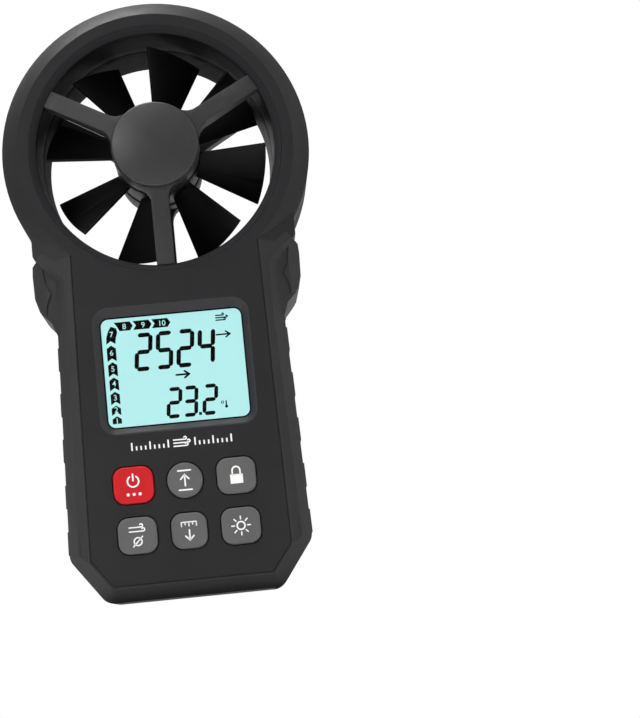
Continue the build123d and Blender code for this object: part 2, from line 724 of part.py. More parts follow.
def thermistor_lead():
    """Lead of the temperature sensor through the duct wall to the main board."""
    x_low, z_low = THERMISTOR_X + 1.9, LEAD_Z - 3.6
    points = [
        (THERMISTOR_X + 0.6, THERMISTOR_Y, THERMISTOR_Z - 1.3),
        (x_low, THERMISTOR_Y, z_low),
        (x_low, BOARD_BACK + 0.5, z_low),
    ]
    return lead(points, 1.5, 0.5)


# Display

def lcd_window():
    """Clear window, glued in from the inside."""
    width, height, thick = WINDOW_SIZE
    return rounded(0, LCD_Z, width, height, 1.5, FACE_Y + BEZEL_DEPTH, FACE_Y + BEZEL_DEPTH + thick)


def lcd_glass():
    """Liquid crystal cell: two sheets of glass, the front one a little shorter."""
    width, height, thick = GLASS_SIZE
    middle = GLASS_FRONT + thick / 2
    low, high = LCD_Z - height / 2, LCD_Z + height / 2
    front = box(-width / 2, width / 2, GLASS_FRONT, middle, low + 2, high)
    return front + box(-width / 2, width / 2, middle, GLASS_FRONT + thick, low, high)


def lcd_frame():
    """Plastic frame that holds the display on the board."""
    width, height, _ = GLASS_SIZE
    y_front = GLASS_FRONT - 0.1
    body = rounded(0, LCD_Z, width + 3.0, height + 3.2, 1.0, y_front, BOARD_FRONT)
    return body - rounded(0, LCD_Z, width + 0.4, height + 0.4, 0.3, y_front - 1, BOARD_FRONT + 1)


def lcd_backlight():
    """Light guide behind the display."""
    front = GLASS_FRONT + GLASS_SIZE[2] + 0.1
    width, height = GUIDE_SIZE
    return box(-width / 2, width / 2, front, BOARD_FRONT, LCD_Z - height / 2, LCD_Z + height / 2)


def backlight_leds():
    """Two lamps at the ends of the light guide."""
    front = GLASS_FRONT + GLASS_SIZE[2] + 0.6
    inner = GUIDE_SIZE[0] / 2 + 0.2
    left = box(-inner - 1.4, -inner, front, BOARD_FRONT, LCD_Z - 2, LCD_Z + 2)
    return Compound([left, mirror(left, Plane.YZ)])


def zebra_strips():
    """Rubber contact strips between the display and the board."""
    front = GLASS_FRONT + GLASS_SIZE[2]
    tall = STRIP_TALL / 2
    middles = (LCD_Z - STRIP_Z, LCD_Z + STRIP_Z)
    return Compound([box(-21, 21, front, BOARD_FRONT, z - tall, z + tall) for z in middles])


# Electronics

def main_board():
    """Main circuit board, cut round the duct."""
    half_width, low, high, corner = 24.9, 11.8, 86.8, 4.0
    face = outline([(half_width - corner, low), (half_width, low + corner), (half_width, high)])
    duct = rod(0, DUCT_Z, DUCT_WALL_R + 1.0, BOARD_FRONT - 1, BOARD_BACK + 1)
    board = slab(face, BOARD_FRONT, BOARD_BACK) - duct
    for x, z in BOARD_SCREWS:
        board -= rod(x, z, BOARD_SCREW_R + 0.3, BOARD_FRONT - 1, BOARD_BACK + 1)
    return board


def board_screws():
    """Screws that hold the board to the front case."""
    screws = []
    for x, z in BOARD_SCREWS:
        shank = rod(x, z, BOARD_SCREW_R, BOARD_FRONT - 3.5, BOARD_BACK)
        screws.append(shank + rod(x, z, BOARD_HEAD_R, BOARD_BACK, BOARD_BACK + 1.1))
    return Compound(screws)


def microcontroller():
    """Controller chip on the back of the board."""
    return box(-19.5, -12.5, BOARD_BACK, BOARD_BACK + 1.4, 74.5, 81.5)


def board_parts():
    """Small parts on the back of the board: capacitors, a crystal and a regulator."""
    capacitors = [(14.0, 79.0, 3.2, 2.0), (18.5, 76.0, 2.0, 3.4), (-20.2, 48.0, 2.0, 2.0)]
    others = [(-20.0, 62.0, 4.4, 2.2), (19.6, 60.0, 3.4, 5.0)]
    blocks = []
    for x, z, wide, tall in capacitors + others:
        block = Pos(x, BOARD_BACK + SMALL_PART_TALL / 2, z) * Box(wide, SMALL_PART_TALL, tall)
        blocks.append(block)
    return Compound(blocks)


def lead_socket():
    """Socket that takes the sensor lead on the board."""
    return box(-3.2, 3.2, BOARD_BACK, BOARD_BACK + SOCKET_TALL, SOCKET_Z - 2.4, SOCKET_Z + 1.5)


# Keypad

def key(x, z, width, height, radius):
    """Moulded key: rounded top, retaining flange and plunger."""
    top = rounded(x, z, width, height, radius, FACE_Y - KEY_PROUD, FACE_Y + WALL + 0.3)
    rim = [e for e in top.edges() if abs(e.center().Y - FACE_Y + KEY_PROUD) < 0.01]
    top = fillet(rim, 0.5)
    flange = (width + 2 * KEY_FLANGE, height + 2 * KEY_FLANGE, radius + KEY_FLANGE)
    body = top + rounded(x, z, *flange, FLANGE_FRONT, FLANGE_FRONT + FLANGE_THICK)
    pill_back = BOARD_FRONT - PILL_GAP
    return body + rod(x, z, PILL_R + 0.4, FLANGE_FRONT + 1, pill_back - PILL_THICK)


def key_pill(x, z):
    """Conductive pill on the end of a key's plunger."""
    back = BOARD_FRONT - PILL_GAP
    return rod(x, z, PILL_R, back - PILL_THICK, back)


def keypad_mat():
    """Silicone sheet on the board, with a collapsible skirt round each plunger."""
    y_sheet = BOARD_FRONT - 1.0
    mat = rounded(0, (KEY_Z_HIGH + KEY_Z_LOW) / 2, 40.4, 26.4, 2.0, y_sheet, BOARD_FRONT)
    skirt_top = FLANGE_FRONT + FLANGE_THICK + KEY_TRAVEL + 0.4
    for _, x, z, *_ in KEYS:
        section = [(3.1, skirt_top), (4.1, skirt_top), (5.9, y_sheet), (4.9, y_sheet)]
        skirt = Pos(x, 0, 0) * turned(section, z)
        mat = mat - rod(x, z, 4.9, y_sheet - 1, BOARD_FRONT + 1) + skirt
    return mat


# Battery

def battery():
    """Nine volt block battery with its two studs."""
    width, depth, tall = BATTERY_SIZE
    y_mid = BATTERY_FRONT + depth / 2
    block = Pos(0, y_mid, BATTERY_Z + tall / 2) * Box(width, depth, tall)
    block = fillet(block.edges().filter_by(Axis.Z), 1.5)
    studs = [Pos(x, y_mid, BATTERY_TOP + STUD_TALL / 2) * Cylinder(r, STUD_TALL) for x, r in STUDS]
    return block + joined(studs)


def battery_snap():
    """Snap connector on the studs."""
    y_mid = BATTERY_FRONT + BATTERY_SIZE[1] / 2
    body = Pos(0, y_mid, BATTERY_TOP + SNAP_GAP + SNAP_SIZE[2] / 2) * Box(*SNAP_SIZE)
    body = fillet(body.edges().filter_by(Axis.Z), 3.0)
    for x, r in STUDS:
        body -= Pos(x, y_mid, BATTERY_TOP + STUD_TALL / 2) * Cylinder(r + 0.05, STUD_TALL + 0.2)
    return body


def battery_lead(x):
    """One of the two leads from the snap connector to the main board."""
    y_top = 4.0
    points = [
        (x, y_top, BATTERY_TOP + SNAP_GAP + SNAP_SIZE[2]),
        (x, y_top, BATTERY_LEAD_Z),
        (x, BOARD_BACK, BATTERY_LEAD_Z),
    ]
    return lead(points, 1.6, 0.6)


def battery_cover():
    """Cover that hooks in at its top edge and is screwed at its foot."""
    middle = (COVER_LOW + COVER_HIGH) / 2
    half_width = COVER_HALF - COVER_GAP
    tall = COVER_HIGH - COVER_LOW - 2 * COVER_GAP
    body = rounded(0, middle, 2 * half_width, tall, 2.3, BACK_Y - COVER_THICK, BACK_Y)
    for side in (-1, 1):
        x = side * TONGUE_X
        left, right = x - TONGUE_WIDTH / 2, x + TONGUE_WIDTH / 2
        neck_top = COVER_HIGH - COVER_GAP - 0.3
        body += box(left, right, TONGUE_FRONT, BACK_Y - COVER_THICK + 0.1, TONGUE_LOW, neck_top)
        body += box(left, right, TONGUE_FRONT, BACK_Y - 2.6, TONGUE_LOW, COVER_HIGH + 1.6)
    groove_tall, groove_pitch = 0.9, 2.2
    for i in range(5):
        z, wide = 60.0 + i * groove_pitch, 14.0 - 2 * i
        body -= rounded(0, z, wide, groove_tall, 0.4, BACK_Y - 0.5, BACK_Y + 1)
    body -= rod(0, COVER_SCREW_Z, 1.35, BACK_Y - 5, BACK_Y + 1)
    return body - rod(0, COVER_SCREW_Z, COVER_HEAD_SEAT_R, BACK_Y - COVER_SINK, BACK_Y + 1)


def cover_screw():
    """Captive screw of the battery cover."""
    head = rod(0, COVER_SCREW_Z, COVER_HEAD_R, BACK_Y - COVER_SINK, BACK_Y - 0.1)
    shank = rod(0, COVER_SCREW_Z, 1.2, LEDGE_FRONT - 2.2, BACK_Y - 1)
    return head + shank - cross_slot(0, COVER_SCREW_Z, 1.5, BACK_Y - 0.7)


def cover_insert():
    """Brass insert that the cover screw goes into."""
    body = rod(0, COVER_SCREW_Z, COVER_INSERT_R, LEDGE_FRONT - COVER_INSERT_TALL, LEDGE_FRONT)
    return body - rod(0, COVER_SCREW_Z, 1.5, LEDGE_FRONT - 3.2, LEDGE_FRONT + 1)


def cover_foam():
    """Foam strip on the inside of the cover, which steadies the battery."""
    back = BACK_Y - COVER_THICK
    front = BATTERY_FRONT + BATTERY_SIZE[1] + 0.25
    return box(-FOAM_HALF, FOAM_HALF, front, back, FOAM_LOW, FOAM_HIGH)


def tripod_nut():
    """Brass insert with the tripod thread."""
    body = rod(0, TRIPOD_Z, TRIPOD_NUT_R, BACK_Y - TRIPOD_DEPTH, BACK_Y - 0.2)
    return body - rod(0, TRIPOD_Z, TRIPOD_BORE_R, BACK_Y - TRIPOD_DEPTH + 1.0, BACK_Y + 1)


def case_screws():
    """Six screws that close the case from behind."""
    screws = []
    for x, z in CASE_SCREWS:
        head = rod(x, z, CASE_HEAD_R, CASE_SEAT_Y, CASE_SEAT_Y + CASE_HEAD_TALL)
        head -= cross_slot(x, z, 1.4, CASE_SEAT_Y + 0.8)
        screws.append(head + rod(x, z, CASE_SCREW_R, SPLIT_Y - 8, CASE_SEAT_Y))
    return Compound(screws)


def all_parts():
    """Every piece by name."""
    solid = closed_case()
    cavity = case_cavity()
    rubber = jacket()
    parts = {
        "front_case": front_case(solid, cavity),
        "rear_case": rear_case(solid, cavity),
        "front_grip_jacket": half(rubber, FACE_Y - 1, SPLIT_Y),
        "rear_grip_jacket": half(rubber, SPLIT_Y, BACK_Y + 1),
        "front_duct_liner": front_liner(),
        "rear_duct_liner": rear_liner(),
        "front_guard": front_guard(),
        "rear_guard": rear_guard(),
        "front_hub_cap": front_hub_cap(),
        "rear_hub_cap": rear_hub_cap(),
        "front_jewel_bearing": jewel_bearing(*FRONT_BEARING),
        "rear_jewel_bearing": jewel_bearing(*REAR_BEARING),
        "impeller": impeller(),
        "rotor_shaft": rotor_shaft(),
        "rotor_magnet": rotor_magnet(),
        "sensor_board": sensor_board(),
        "hall_sensor": hall_sensor(),
        "sensor_lead": sensor_lead(),
        "thermistor": thermistor(),
        "thermistor_lead": thermistor_lead(),
        "lcd_window": lcd_window(),
        "lcd_glass": lcd_glass(),
        "lcd_frame": lcd_frame(),
        "lcd_backlight": lcd_backlight(),
        "backlight_leds": backlight_leds(),
        "zebra_strips": zebra_strips(),
        "main_circuit_board": main_board(),
        "circuit_board_screws": board_screws(),
        "microcontroller": microcontroller(),
        "board_parts": board_parts(),
        "lead_socket": lead_socket(),
        "keypad_mat": keypad_mat(),
        "battery": battery(),
        "battery_snap": battery_snap(),
        "battery_lead_red": battery_lead(BATTERY_LEAD_X),
        "battery_lead_black": battery_lead(-BATTERY_LEAD_X),
        "battery_cover": battery_cover(),
        "battery_cover_screw": cover_screw(),
        "cover_screw_insert": cover_insert(),
        "battery_foam": cover_foam(),
        "tripod_nut": tripod_nut(),
        "case_screws": case_screws(),
    }
    for name, x, z, width, height, radius in KEYS:
        parts[name] = key(x, z, width, height, radius)
        parts[name + "_pill"] = key_pill(x, z)
    return parts


def main():
    """Write one STEP file for each piece."""
    os.makedirs("parts", exist_ok=True)
    for name, shape in all_parts().items():
        export_step(shape, os.path.join("parts", name + ".step"))


main()
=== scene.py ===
"""Looks of a handheld vane anemometer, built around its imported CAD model."""

import json
import logging
import math
from collections.abc import Iterable, Sequence
from dataclasses import dataclass, field
from enum import Enum
from typing import Protocol

import bmesh
import bpy
from mathutils import Matrix, Vector


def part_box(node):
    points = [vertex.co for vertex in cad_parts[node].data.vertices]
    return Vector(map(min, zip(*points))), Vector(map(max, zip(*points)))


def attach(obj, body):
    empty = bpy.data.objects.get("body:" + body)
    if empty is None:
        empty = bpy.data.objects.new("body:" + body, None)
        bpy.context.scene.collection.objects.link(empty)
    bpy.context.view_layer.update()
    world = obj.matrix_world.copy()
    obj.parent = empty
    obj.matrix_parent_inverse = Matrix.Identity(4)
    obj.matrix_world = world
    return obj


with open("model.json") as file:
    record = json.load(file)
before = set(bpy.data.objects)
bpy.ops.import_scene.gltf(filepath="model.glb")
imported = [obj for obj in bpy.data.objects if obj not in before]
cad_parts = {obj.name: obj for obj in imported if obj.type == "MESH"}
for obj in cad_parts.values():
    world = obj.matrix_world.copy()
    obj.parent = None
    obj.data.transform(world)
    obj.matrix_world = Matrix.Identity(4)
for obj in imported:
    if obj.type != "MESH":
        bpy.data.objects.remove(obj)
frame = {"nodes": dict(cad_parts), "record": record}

LOG = logging.getLogger("anemometer")
MM = 0.001  # one millimetre in metres
MICRON = 0.000001  # one micrometre in metres
NOISE_LOW, NOISE_HIGH = 0.3, 0.7  # the range that nearly all of a noise's values fall in
PRINT_PROUD, PRINT_THICK = 0.02, 0.03  # millimetres of ink above the surface and in all
FULL_TURN = 360  # degrees

Point = tuple[float, float]
Setting = bool | int | float | str | tuple[float, ...]
Socket = bpy.types.NodeSocket


# ==== Colour and node helpers ====


def srgb(code: str) -> tuple[float, float, float, float]:
    """Turn an sRGB hex colour into linear RGBA.

    Args:
        code: six hex digits.

    Returns:
        The linear colour with full alpha.
    """
    channels = [int(code[i : i + 2], 16) / 255 for i in (0, 2, 4)]
    red, green, blue = (c / 12.92 if c <= 0.04045 else ((c + 0.055) / 1.055) ** 2.4 for c in channels)
    return (red, green, blue, 1.0)


def add_node(
    tree: bpy.types.NodeTree,
    kind: str,
    settings: dict[str | int, Setting] | None = None,
    links: dict[str | int, Socket] | None = None,
) -> bpy.types.Node:
    """Add a node with its settings and links.

    Args:
        tree: the node tree of a material or world.
        kind: the node's Blender type.
        settings: values of the node's own properties by name, and of its inputs by name or number.
        links: sockets that feed its inputs, by input name or number.

    Returns:
        The new node.
    """
    node = tree.nodes.new(kind)
    for name, value in (settings or {}).items():
        if isinstance(name, str) and hasattr(node, name):
            setattr(node, name, value)
        else:
            node.inputs[name].default_value = value
    for name, socket in (links or {}).items():
        tree.links.new(socket, node.inputs[name])
    return node


def empty_material(name: str) -> tuple[bpy.types.Material, bpy.types.NodeTree]:
    """Make a node material with nothing in it.

    Args:
        name: the material's name.

    Returns:
        The material and its node tree.
    """
    material = bpy.data.materials.new(name)
    material.use_nodes = True
    material.node_tree.nodes.clear()
    return material, material.node_tree


# ==== Finishes ====


class Finish(Protocol):
    """Anything that has a name and can make its material."""

    name: str

    def build(self) -> bpy.types.Material:
        """Make the material."""


class Texture(Enum):
    """How a mould or a tool leaves a surface: feature size in mm and height in micrometres."""

    SPARK_ERODED = (0.35, 9.0)  # the real grain is about 0.1 mm, drawn coarser so that it shows
    FINE_MATT = (0.25, 5.0)  # the real grain is about 0.05 mm, drawn coarser so that it shows
    POLISHED = (1.2, 0.8)
    SOFT_MATT = (0.5, 12.0)

    @property
    def size_mm(self) -> float:
        """Distance between features."""
        return self.value[0]

    @property
    def height_um(self) -> float:
        """Height of the features."""
        return self.value[1]


@dataclass(frozen=True)
class Moulded:
    """Moulded plastic, rubber or silicone: a mould texture under slight unevenness of tone and gloss."""

    name: str
    colour: str
    shade: str
    roughness: float
    specular: float
    texture: Texture
    sheen: float = 0.0
    cloud_mm: float = 14.0
    gloss_spread: float = 0.04

    def build(self) -> bpy.types.Material:
        """Make the material.

        Returns:
            The material.
        """
        material, tree = empty_material(self.name)
        place = add_node(tree, "ShaderNodeTexCoord").outputs["Object"]
        cloud = add_node(
            tree, "ShaderNodeTexNoise", {"Scale": 1 / (self.cloud_mm * MM), "Detail": 3.0}, {"Vector": place}
        )
        span = {"From Min": NOISE_LOW, "From Max": NOISE_HIGH}
        level = add_node(tree, "ShaderNodeMapRange", span, {"Value": cloud.outputs["Fac"]})
        tone = add_node(
            tree,
            "ShaderNodeMix",
            {"data_type": "RGBA", 6: srgb(self.shade), 7: srgb(self.colour)},
            {0: level.outputs["Result"]},
        )
        patch = add_node(
            tree, "ShaderNodeTexNoise", {"Scale": 4 / (self.cloud_mm * MM), "Detail": 3.0}, {"Vector": place}
        )
        gloss = add_node(
            tree,
            "ShaderNodeMapRange",
            {
                "From Min": NOISE_LOW,
                "From Max": NOISE_HIGH,
                "To Min": self.roughness - self.gloss_spread,
                "To Max": self.roughness + self.gloss_spread,
            },
            {"Value": patch.outputs["Fac"]},
        )
        grain = add_node(
            tree,
            "ShaderNodeTexNoise",
            {"Scale": 1 / (self.texture.size_mm * MM), "Detail": 2.0},
            {"Vector": place},
        )
        relief = add_node(
            tree,
            "ShaderNodeBump",
            {"Strength": 0.6, "Distance": self.texture.height_um * MICRON},
            {"Height": grain.outputs["Fac"]},
        )
        skin = add_node(
            tree,
            "ShaderNodeBsdfPrincipled",
            {"Specular IOR Level": self.specular, "Sheen Weight": self.sheen},
            {
                "Base Color": self._tint(tree, place, tone.outputs[2]),
                "Roughness": gloss.outputs["Result"],
                "Normal": relief.outputs["Normal"],
            },
        )
        add_node(tree, "ShaderNodeOutputMaterial", links={"Surface": skin.outputs["BSDF"]})
        return material

    def _tint(self, tree: bpy.types.NodeTree, place: Socket, tone: Socket) -> Socket:
        """Give the final colour, which is the plain tone here."""
        return tone


@dataclass(frozen=True)
class LitLipShadedBore(Moulded):
    """Moulded tube in one material split by depth: the front lip painted paler as painted light, and the bore
    behind it painted darker as painted shade.
    """

    # colour of the lip, painted paler than the bore as painted light on the front edge
    lip: str = "ffffff"
    lip_y_mm: float = 0.0

    def _tint(self, tree: bpy.types.NodeTree, place: Socket, tone: Socket) -> Socket:
        """Give the lip's paler colour, painted light, in front of its depth, and the bore's darker tone,
        painted shade, behind it.

        Args:
            tree: the material's node tree.
            place: position on the object.
            tone: colour with its unevenness.

        Returns:
            The colour to use.
        """
        depth = add_node(tree, "ShaderNodeSeparateXYZ", links={"Vector": place}).outputs["Y"]
        # mask of the bore behind the lip, which takes the darker tone as painted shade
        behind = add_node(
            tree, "ShaderNodeMath", {"operation": "GREATER_THAN", 1: self.lip_y_mm * MM}, {0: depth}
        )
        mix = add_node(
            tree,
            "ShaderNodeMix",
            {"data_type": "RGBA", 6: srgb(self.lip)},
            {0: behind.outputs["Value"], 7: tone},
        )
        return mix.outputs[2]


@dataclass(frozen=True)
class Metal:
    """Turned or plated metal with fine tool marks."""

    name: str
    colour: str
    shade: str
    roughness: float
    mark_mm: float = 0.3  # real turning marks are about 0.05 mm apart, drawn coarser so that they show
    mark_um: float = 4.0
    gloss_spread: float = 0.12

    def build(self) -> bpy.types.Material:
        """Make the material.

        Returns:
            The material.
        """
        material, tree = empty_material(self.name)
        place = add_node(tree, "ShaderNodeTexCoord").outputs["Object"]
        drawn = add_node(tree, "ShaderNodeMapping", {"Scale": (1.0, 0.1, 1.0)}, {"Vector": place})
        marks = add_node(
            tree,
            "ShaderNodeTexNoise",
            {"Scale": 1 / (self.mark_mm * MM), "Detail": 3.0},
            {"Vector": drawn.outputs["Vector"]},
        )
        tone = add_node(
            tree,
            "ShaderNodeMix",
            {"data_type": "RGBA", 6: srgb(self.shade), 7: srgb(self.colour)},
            {0: marks.outputs["Fac"]},
        )
        gloss = add_node(
            tree,
            "ShaderNodeMapRange",
            {"To Min": self.roughness - self.gloss_spread, "To Max": self.roughness + self.gloss_spread},
            {"Value": marks.outputs["Fac"]},
        )
        relief = add_node(
            tree,
            "ShaderNodeBump",
            {"Strength": 0.4, "Distance": self.mark_um * MICRON},
            {"Height": marks.outputs["Fac"]},
        )
        skin = add_node(
            tree,
            "ShaderNodeBsdfPrincipled",
            {"Metallic": 1.0},
            {
                "Base Color": tone.outputs[2],
                "Roughness": gloss.outputs["Result"],
                "Normal": relief.outputs["Normal"],
            },
        )
        add_node(tree, "ShaderNodeOutputMaterial", links={"Surface": skin.outputs["BSDF"]})
        return material


@dataclass(frozen=True)
class ClearSheet:
    """Clear cast sheet with an anti-glare hard coat."""

    name: str
    colour: str
    ior: float
    specular: float
    wave_mm: float = 9.0

    def build(self) -> bpy.types.Material:
        """Make the material.

        Returns:
            The material.
        """
        material, tree = empty_material(self.name)
        place = add_node(tree, "ShaderNodeTexCoord").outputs["Object"]
        wave = add_node(
            tree, "ShaderNodeTexNoise", {"Scale": 1 / (self.wave_mm * MM), "Detail": 1.0}, {"Vector": place}
        )
        gloss = add_node(
            tree, "ShaderNodeMapRange", {"To Min": 0.0, "To Max": 0.03}, {"Value": wave.outputs["Fac"]}
        )
        skin = add_node(
            tree,
            "ShaderNodeBsdfPrincipled",
            {
                "Base Color": srgb(self.colour),
                "Transmission Weight": 1.0,
                "IOR": self.ior,
                "Specular IOR Level": self.specular,
            },
            {"Roughness": gloss.outputs["Result"]},
        )
        add_node(tree, "ShaderNodeOutputMaterial", links={"Surface": skin.outputs["BSDF"]})
        return material


@dataclass(frozen=True)
class BacklitCell:
    """Liquid crystal cell lit from behind by an even light guide."""

    name: str
    bright: str
    dim: str
    strength: float
    cloud_mm: float = 24.0

    def build(self) -> bpy.types.Material:
        """Make the material.

        Returns:
            The material.
        """
        material, tree = empty_material(self.name)
        place = add_node(tree, "ShaderNodeTexCoord").outputs["Object"]
        cloud = add_node(
            tree, "ShaderNodeTexNoise", {"Scale": 1 / (self.cloud_mm * MM), "Detail": 1.0}, {"Vector": place}
        )
        glow = add_node(
            tree,
            "ShaderNodeMix",
            {"data_type": "RGBA", 6: srgb(self.dim), 7: srgb(self.bright)},
            {0: cloud.outputs["Fac"]},
        )
        skin = add_node(
            tree,
            "ShaderNodeBsdfPrincipled",
            {"Base Color": srgb("10201f"), "Roughness": 0.35, "Emission Strength": self.strength},
            {"Emission Color": glow.outputs[2]},
        )
        add_node(tree, "ShaderNodeOutputMaterial", links={"Surface": skin.outputs["BSDF"]})
        return material


@dataclass(frozen=True)
class Laminate:
    """Printed circuit board: solder mask over copper fields and tracks."""

    name: str
    mask: str
    copper: str
    track_mm: float = 1.3

    def build(self) -> bpy.types.Material:
        """Make the material.

        Returns:
            The material.
        """
        material, tree = empty_material(self.name)
        place = add_node(tree, "ShaderNodeTexCoord").outputs["Object"]
        fields = add_node(
            tree,
            "ShaderNodeTexVoronoi",
            {"distance": "MANHATTAN", "Scale": 1 / (self.track_mm * MM)},
            {"Vector": place},
        )
        tone = add_node(
            tree,
            "ShaderNodeMix",
            {"data_type": "RGBA", 6: srgb(self.mask), 7: srgb(self.copper)},
            {0: fields.outputs["Distance"]},
        )
        colour = {"Base Color": tone.outputs[2]}
        skin = add_node(tree, "ShaderNodeBsdfPrincipled", {"Roughness": 0.35}, colour)
        add_node(tree, "ShaderNodeOutputMaterial", links={"Surface": skin.outputs["BSDF"]})
        return material


@dataclass(frozen=True)
class BandedTin:
    """Lacquered tin jacket of a block battery: one colour below a height and another above it."""

    name: str
    lower: str
    upper: str
    height_mm: float
    scuff_mm: float = 5.0

    def build(self) -> bpy.types.Material:
        """Make the material.

        Returns:
            The material.
        """
        material, tree = empty_material(self.name)
        place = add_node(tree, "ShaderNodeTexCoord").outputs["Object"]
        height = add_node(tree, "ShaderNodeSeparateXYZ", links={"Vector": place}).outputs["Z"]
        above = add_node(
            tree, "ShaderNodeMath", {"operation": "GREATER_THAN", 1: self.height_mm * MM}, {0: height}
        )
        tone = add_node(
            tree,
            "ShaderNodeMix",
            {"data_type": "RGBA", 6: srgb(self.lower), 7: srgb(self.upper)},
            {0: above.outputs["Value"]},
        )
        scuff = add_node(
            tree, "ShaderNodeTexNoise", {"Scale": 1 / (self.scuff_mm * MM), "Detail": 3.0}, {"Vector": place}
        )
        gloss = add_node(
            tree, "ShaderNodeMapRange", {"To Min": 0.2, "To Max": 0.4}, {"Value": scuff.outputs["Fac"]}
        )
        skin = add_node(
            tree,
            "ShaderNodeBsdfPrincipled",
            {"Metallic": 0.3},
            {"Base Color": tone.outputs[2], "Roughness": gloss.outputs["Result"]},
        )
        add_node(tree, "ShaderNodeOutputMaterial", links={"Surface": skin.outputs["BSDF"]})
        return material


# ABS from a spark-eroded mould: a deep black satin with a fine, even grain.
CASE_ABS = Moulded("abs_black_spark_eroded", "1e1e20", "1a1a1c", 0.5, 0.27, Texture.SPARK_ERODED)
# The same ABS framing the display, from a smoother steel insert, with its colour painted one step lighter
# than the case: painted light where the lamps catch its slope.
SURROUND_PAINTED_LIGHTER = Moulded("abs_charcoal_painted_lighter", "2e2e30", "29292b", 0.5, 0.28, Texture.FINE_MATT)
# ABS of the duct, off a blasted core, with hardly any gloss along the bore. The bore is painted nearly black,
# darker than the case, as painted shade inside the duct, and the lip is painted paler as painted light.
DUCT_PAINTED_LIGHT_AND_SHADE = LitLipShadedBore(
    "abs_black_bore_painted_shade", "101011", "0c0c0d", 0.6, 0.05, Texture.POLISHED, lip="29292b", lip_y_mm=-11.8
)
# Glass-filled ABS of the guards: a charcoal satin, lighter than the case.
GUARD_ABS = Moulded("abs_charcoal_satin", "303031", "2a2a2b", 0.48, 0.36, Texture.FINE_MATT)
# The hub cap's ABS is a little glossier, so a lamp leaves a soft spot on its dome.
CAP_ABS = Moulded("abs_charcoal_domed", "2f2f30", "2a2a2b", 0.4, 0.45, Texture.FINE_MATT)
# Thermoplastic rubber moulded over the grip: matt, with a soft bloom along its edges.
GRIP_RUBBER = Moulded("tpe_black_overmoulded", "252526", "202021", 0.56, 0.32, Texture.SOFT_MATT, sheen=0.05)
# Polypropylene filled with carbon black: blades that are nearly black, with a dull gloss.
BLADE_PP = Moulded("polypropylene_black_moulded", "0d0d0d", "090909", 0.42, 0.25, Texture.FINE_MATT)
# Pigmented silicone, moulded matt: soft grey keys that hardly shine.
KEY_GREY = Moulded("silicone_grey_moulded", "5e5e5f", "565657", 0.6, 0.3, Texture.FINE_MATT, sheen=0.03)
# The same silicone in signal red: full colour with a slightly waxy look.
KEY_RED = Moulded("silicone_red_moulded", "c60c18", "b80a14", 0.52, 0.28, Texture.FINE_MATT, sheen=0.03)
# Unpigmented silicone sheet: pale grey and matt.
MAT_SILICONE = Moulded("silicone_sheet_moulded", "7b7b7b", "707070", 0.6, 0.3, Texture.SOFT_MATT)
# Carbon loaded silicone, pressed: a dull black.
CARBON_PILL = Moulded("silicone_carbon_pressed", "161616", "101010", 0.8, 0.2, Texture.SOFT_MATT)
# Screen-printed epoxy ink: a clean matt white.
PRINT_WHITE = Moulded("epoxy_ink_white_printed", "f4f4f2", "ececea", 0.55, 0.3, Texture.FINE_MATT)
# Switched liquid crystal between polarisers: an even near-black.
SEGMENT_DARK = Moulded("liquid_crystal_switched", "060808", "040606", 0.6, 0.05, Texture.POLISHED)
# Painted shade round the window: a black line standing in for the shade in the depth of the recess at the
# picture's edge.
WINDOW_EDGE_SHADE = Moulded("window_edge_painted_shade", "050505", "030303", 0.9, 0.1, Texture.SOFT_MATT)
# Zinc-plated steel: cool bright grey with fine turning marks.
PLATED_STEEL = Metal("steel_zinc_plated", "b9bcc0", "9a9ea3", 0.32)
# Free-cutting brass, turned: warm yellow with fine rings.
TURNED_BRASS = Metal("brass_turned", "c9a45a", "a9843f", 0.28)
# Cast acrylic under a coat that cuts its reflection, as a low index: almost no mirror image on the picture.
CLEAR_ACRYLIC = ClearSheet("acrylic_cast_hard_coated", "ffffff", 1.12, 0.08)
# Reflective liquid crystal cell over a light guide: an even pale cyan glow.
LIT_CELL = BacklitCell("glass_cell_backlit", "bcf6f5", "b2efee", 0.93)
# Glass fibre board: green mask with lighter copper fields under it.
GREEN_BOARD = Laminate("fr4_green_solder_mask", "0e3d1d", "2c6b39")
# Lithographed tin: black below, copper coloured above.
CELL_JACKET = BandedTin("tin_lacquered", "1b1c1e", "a86a35", 52.0)
# Synthetic ruby, polished: deep red with a hard gloss.
RUBY = Moulded("ruby_polished", "8e1230", "6f0c24", 0.12, 0.9, Texture.POLISHED)
# Sintered ferrite, ground: dark grey and dull.
FERRITE = Moulded("ferrite_ground", "262628", "1c1c1e", 0.6, 0.4, Texture.FINE_MATT)
# Transfer-moulded epoxy: the flat black of chips.
CHIP_EPOXY = Moulded("epoxy_black_moulded", "141414", "0f0f0f", 0.5, 0.4, Texture.FINE_MATT)
# Natural nylon, moulded: a milky cream.
NYLON = Moulded("nylon_natural_moulded", "cfc7b2", "c2b99f", 0.45, 0.4, Texture.FINE_MATT)
# Opal polycarbonate, polished: bright white with a clear gloss.
WHITE_PC = Moulded("polycarbonate_opal_polished", "e6e8e6", "dadcda", 0.3, 0.5, Texture.POLISHED)
# Soft PVC, extruded, in three colours: smooth with a low gloss.
GREY_PVC = Moulded("pvc_grey_extruded", "6c6c6c", "626262", 0.45, 0.4, Texture.FINE_MATT)
RED_PVC = Moulded("pvc_red_extruded", "b01818", "9c1212", 0.4, 0.4, Texture.FINE_MATT)
BLACK_PVC = Moulded("pvc_black_extruded", "1a1a1a", "141414", 0.4, 0.4, Texture.FINE_MATT)
# Closed-cell foam, cut: black, with no shine.
FOAM = Moulded("foam_black_cut", "1c1c1c", "141414", 0.9, 0.15, Texture.SOFT_MATT)

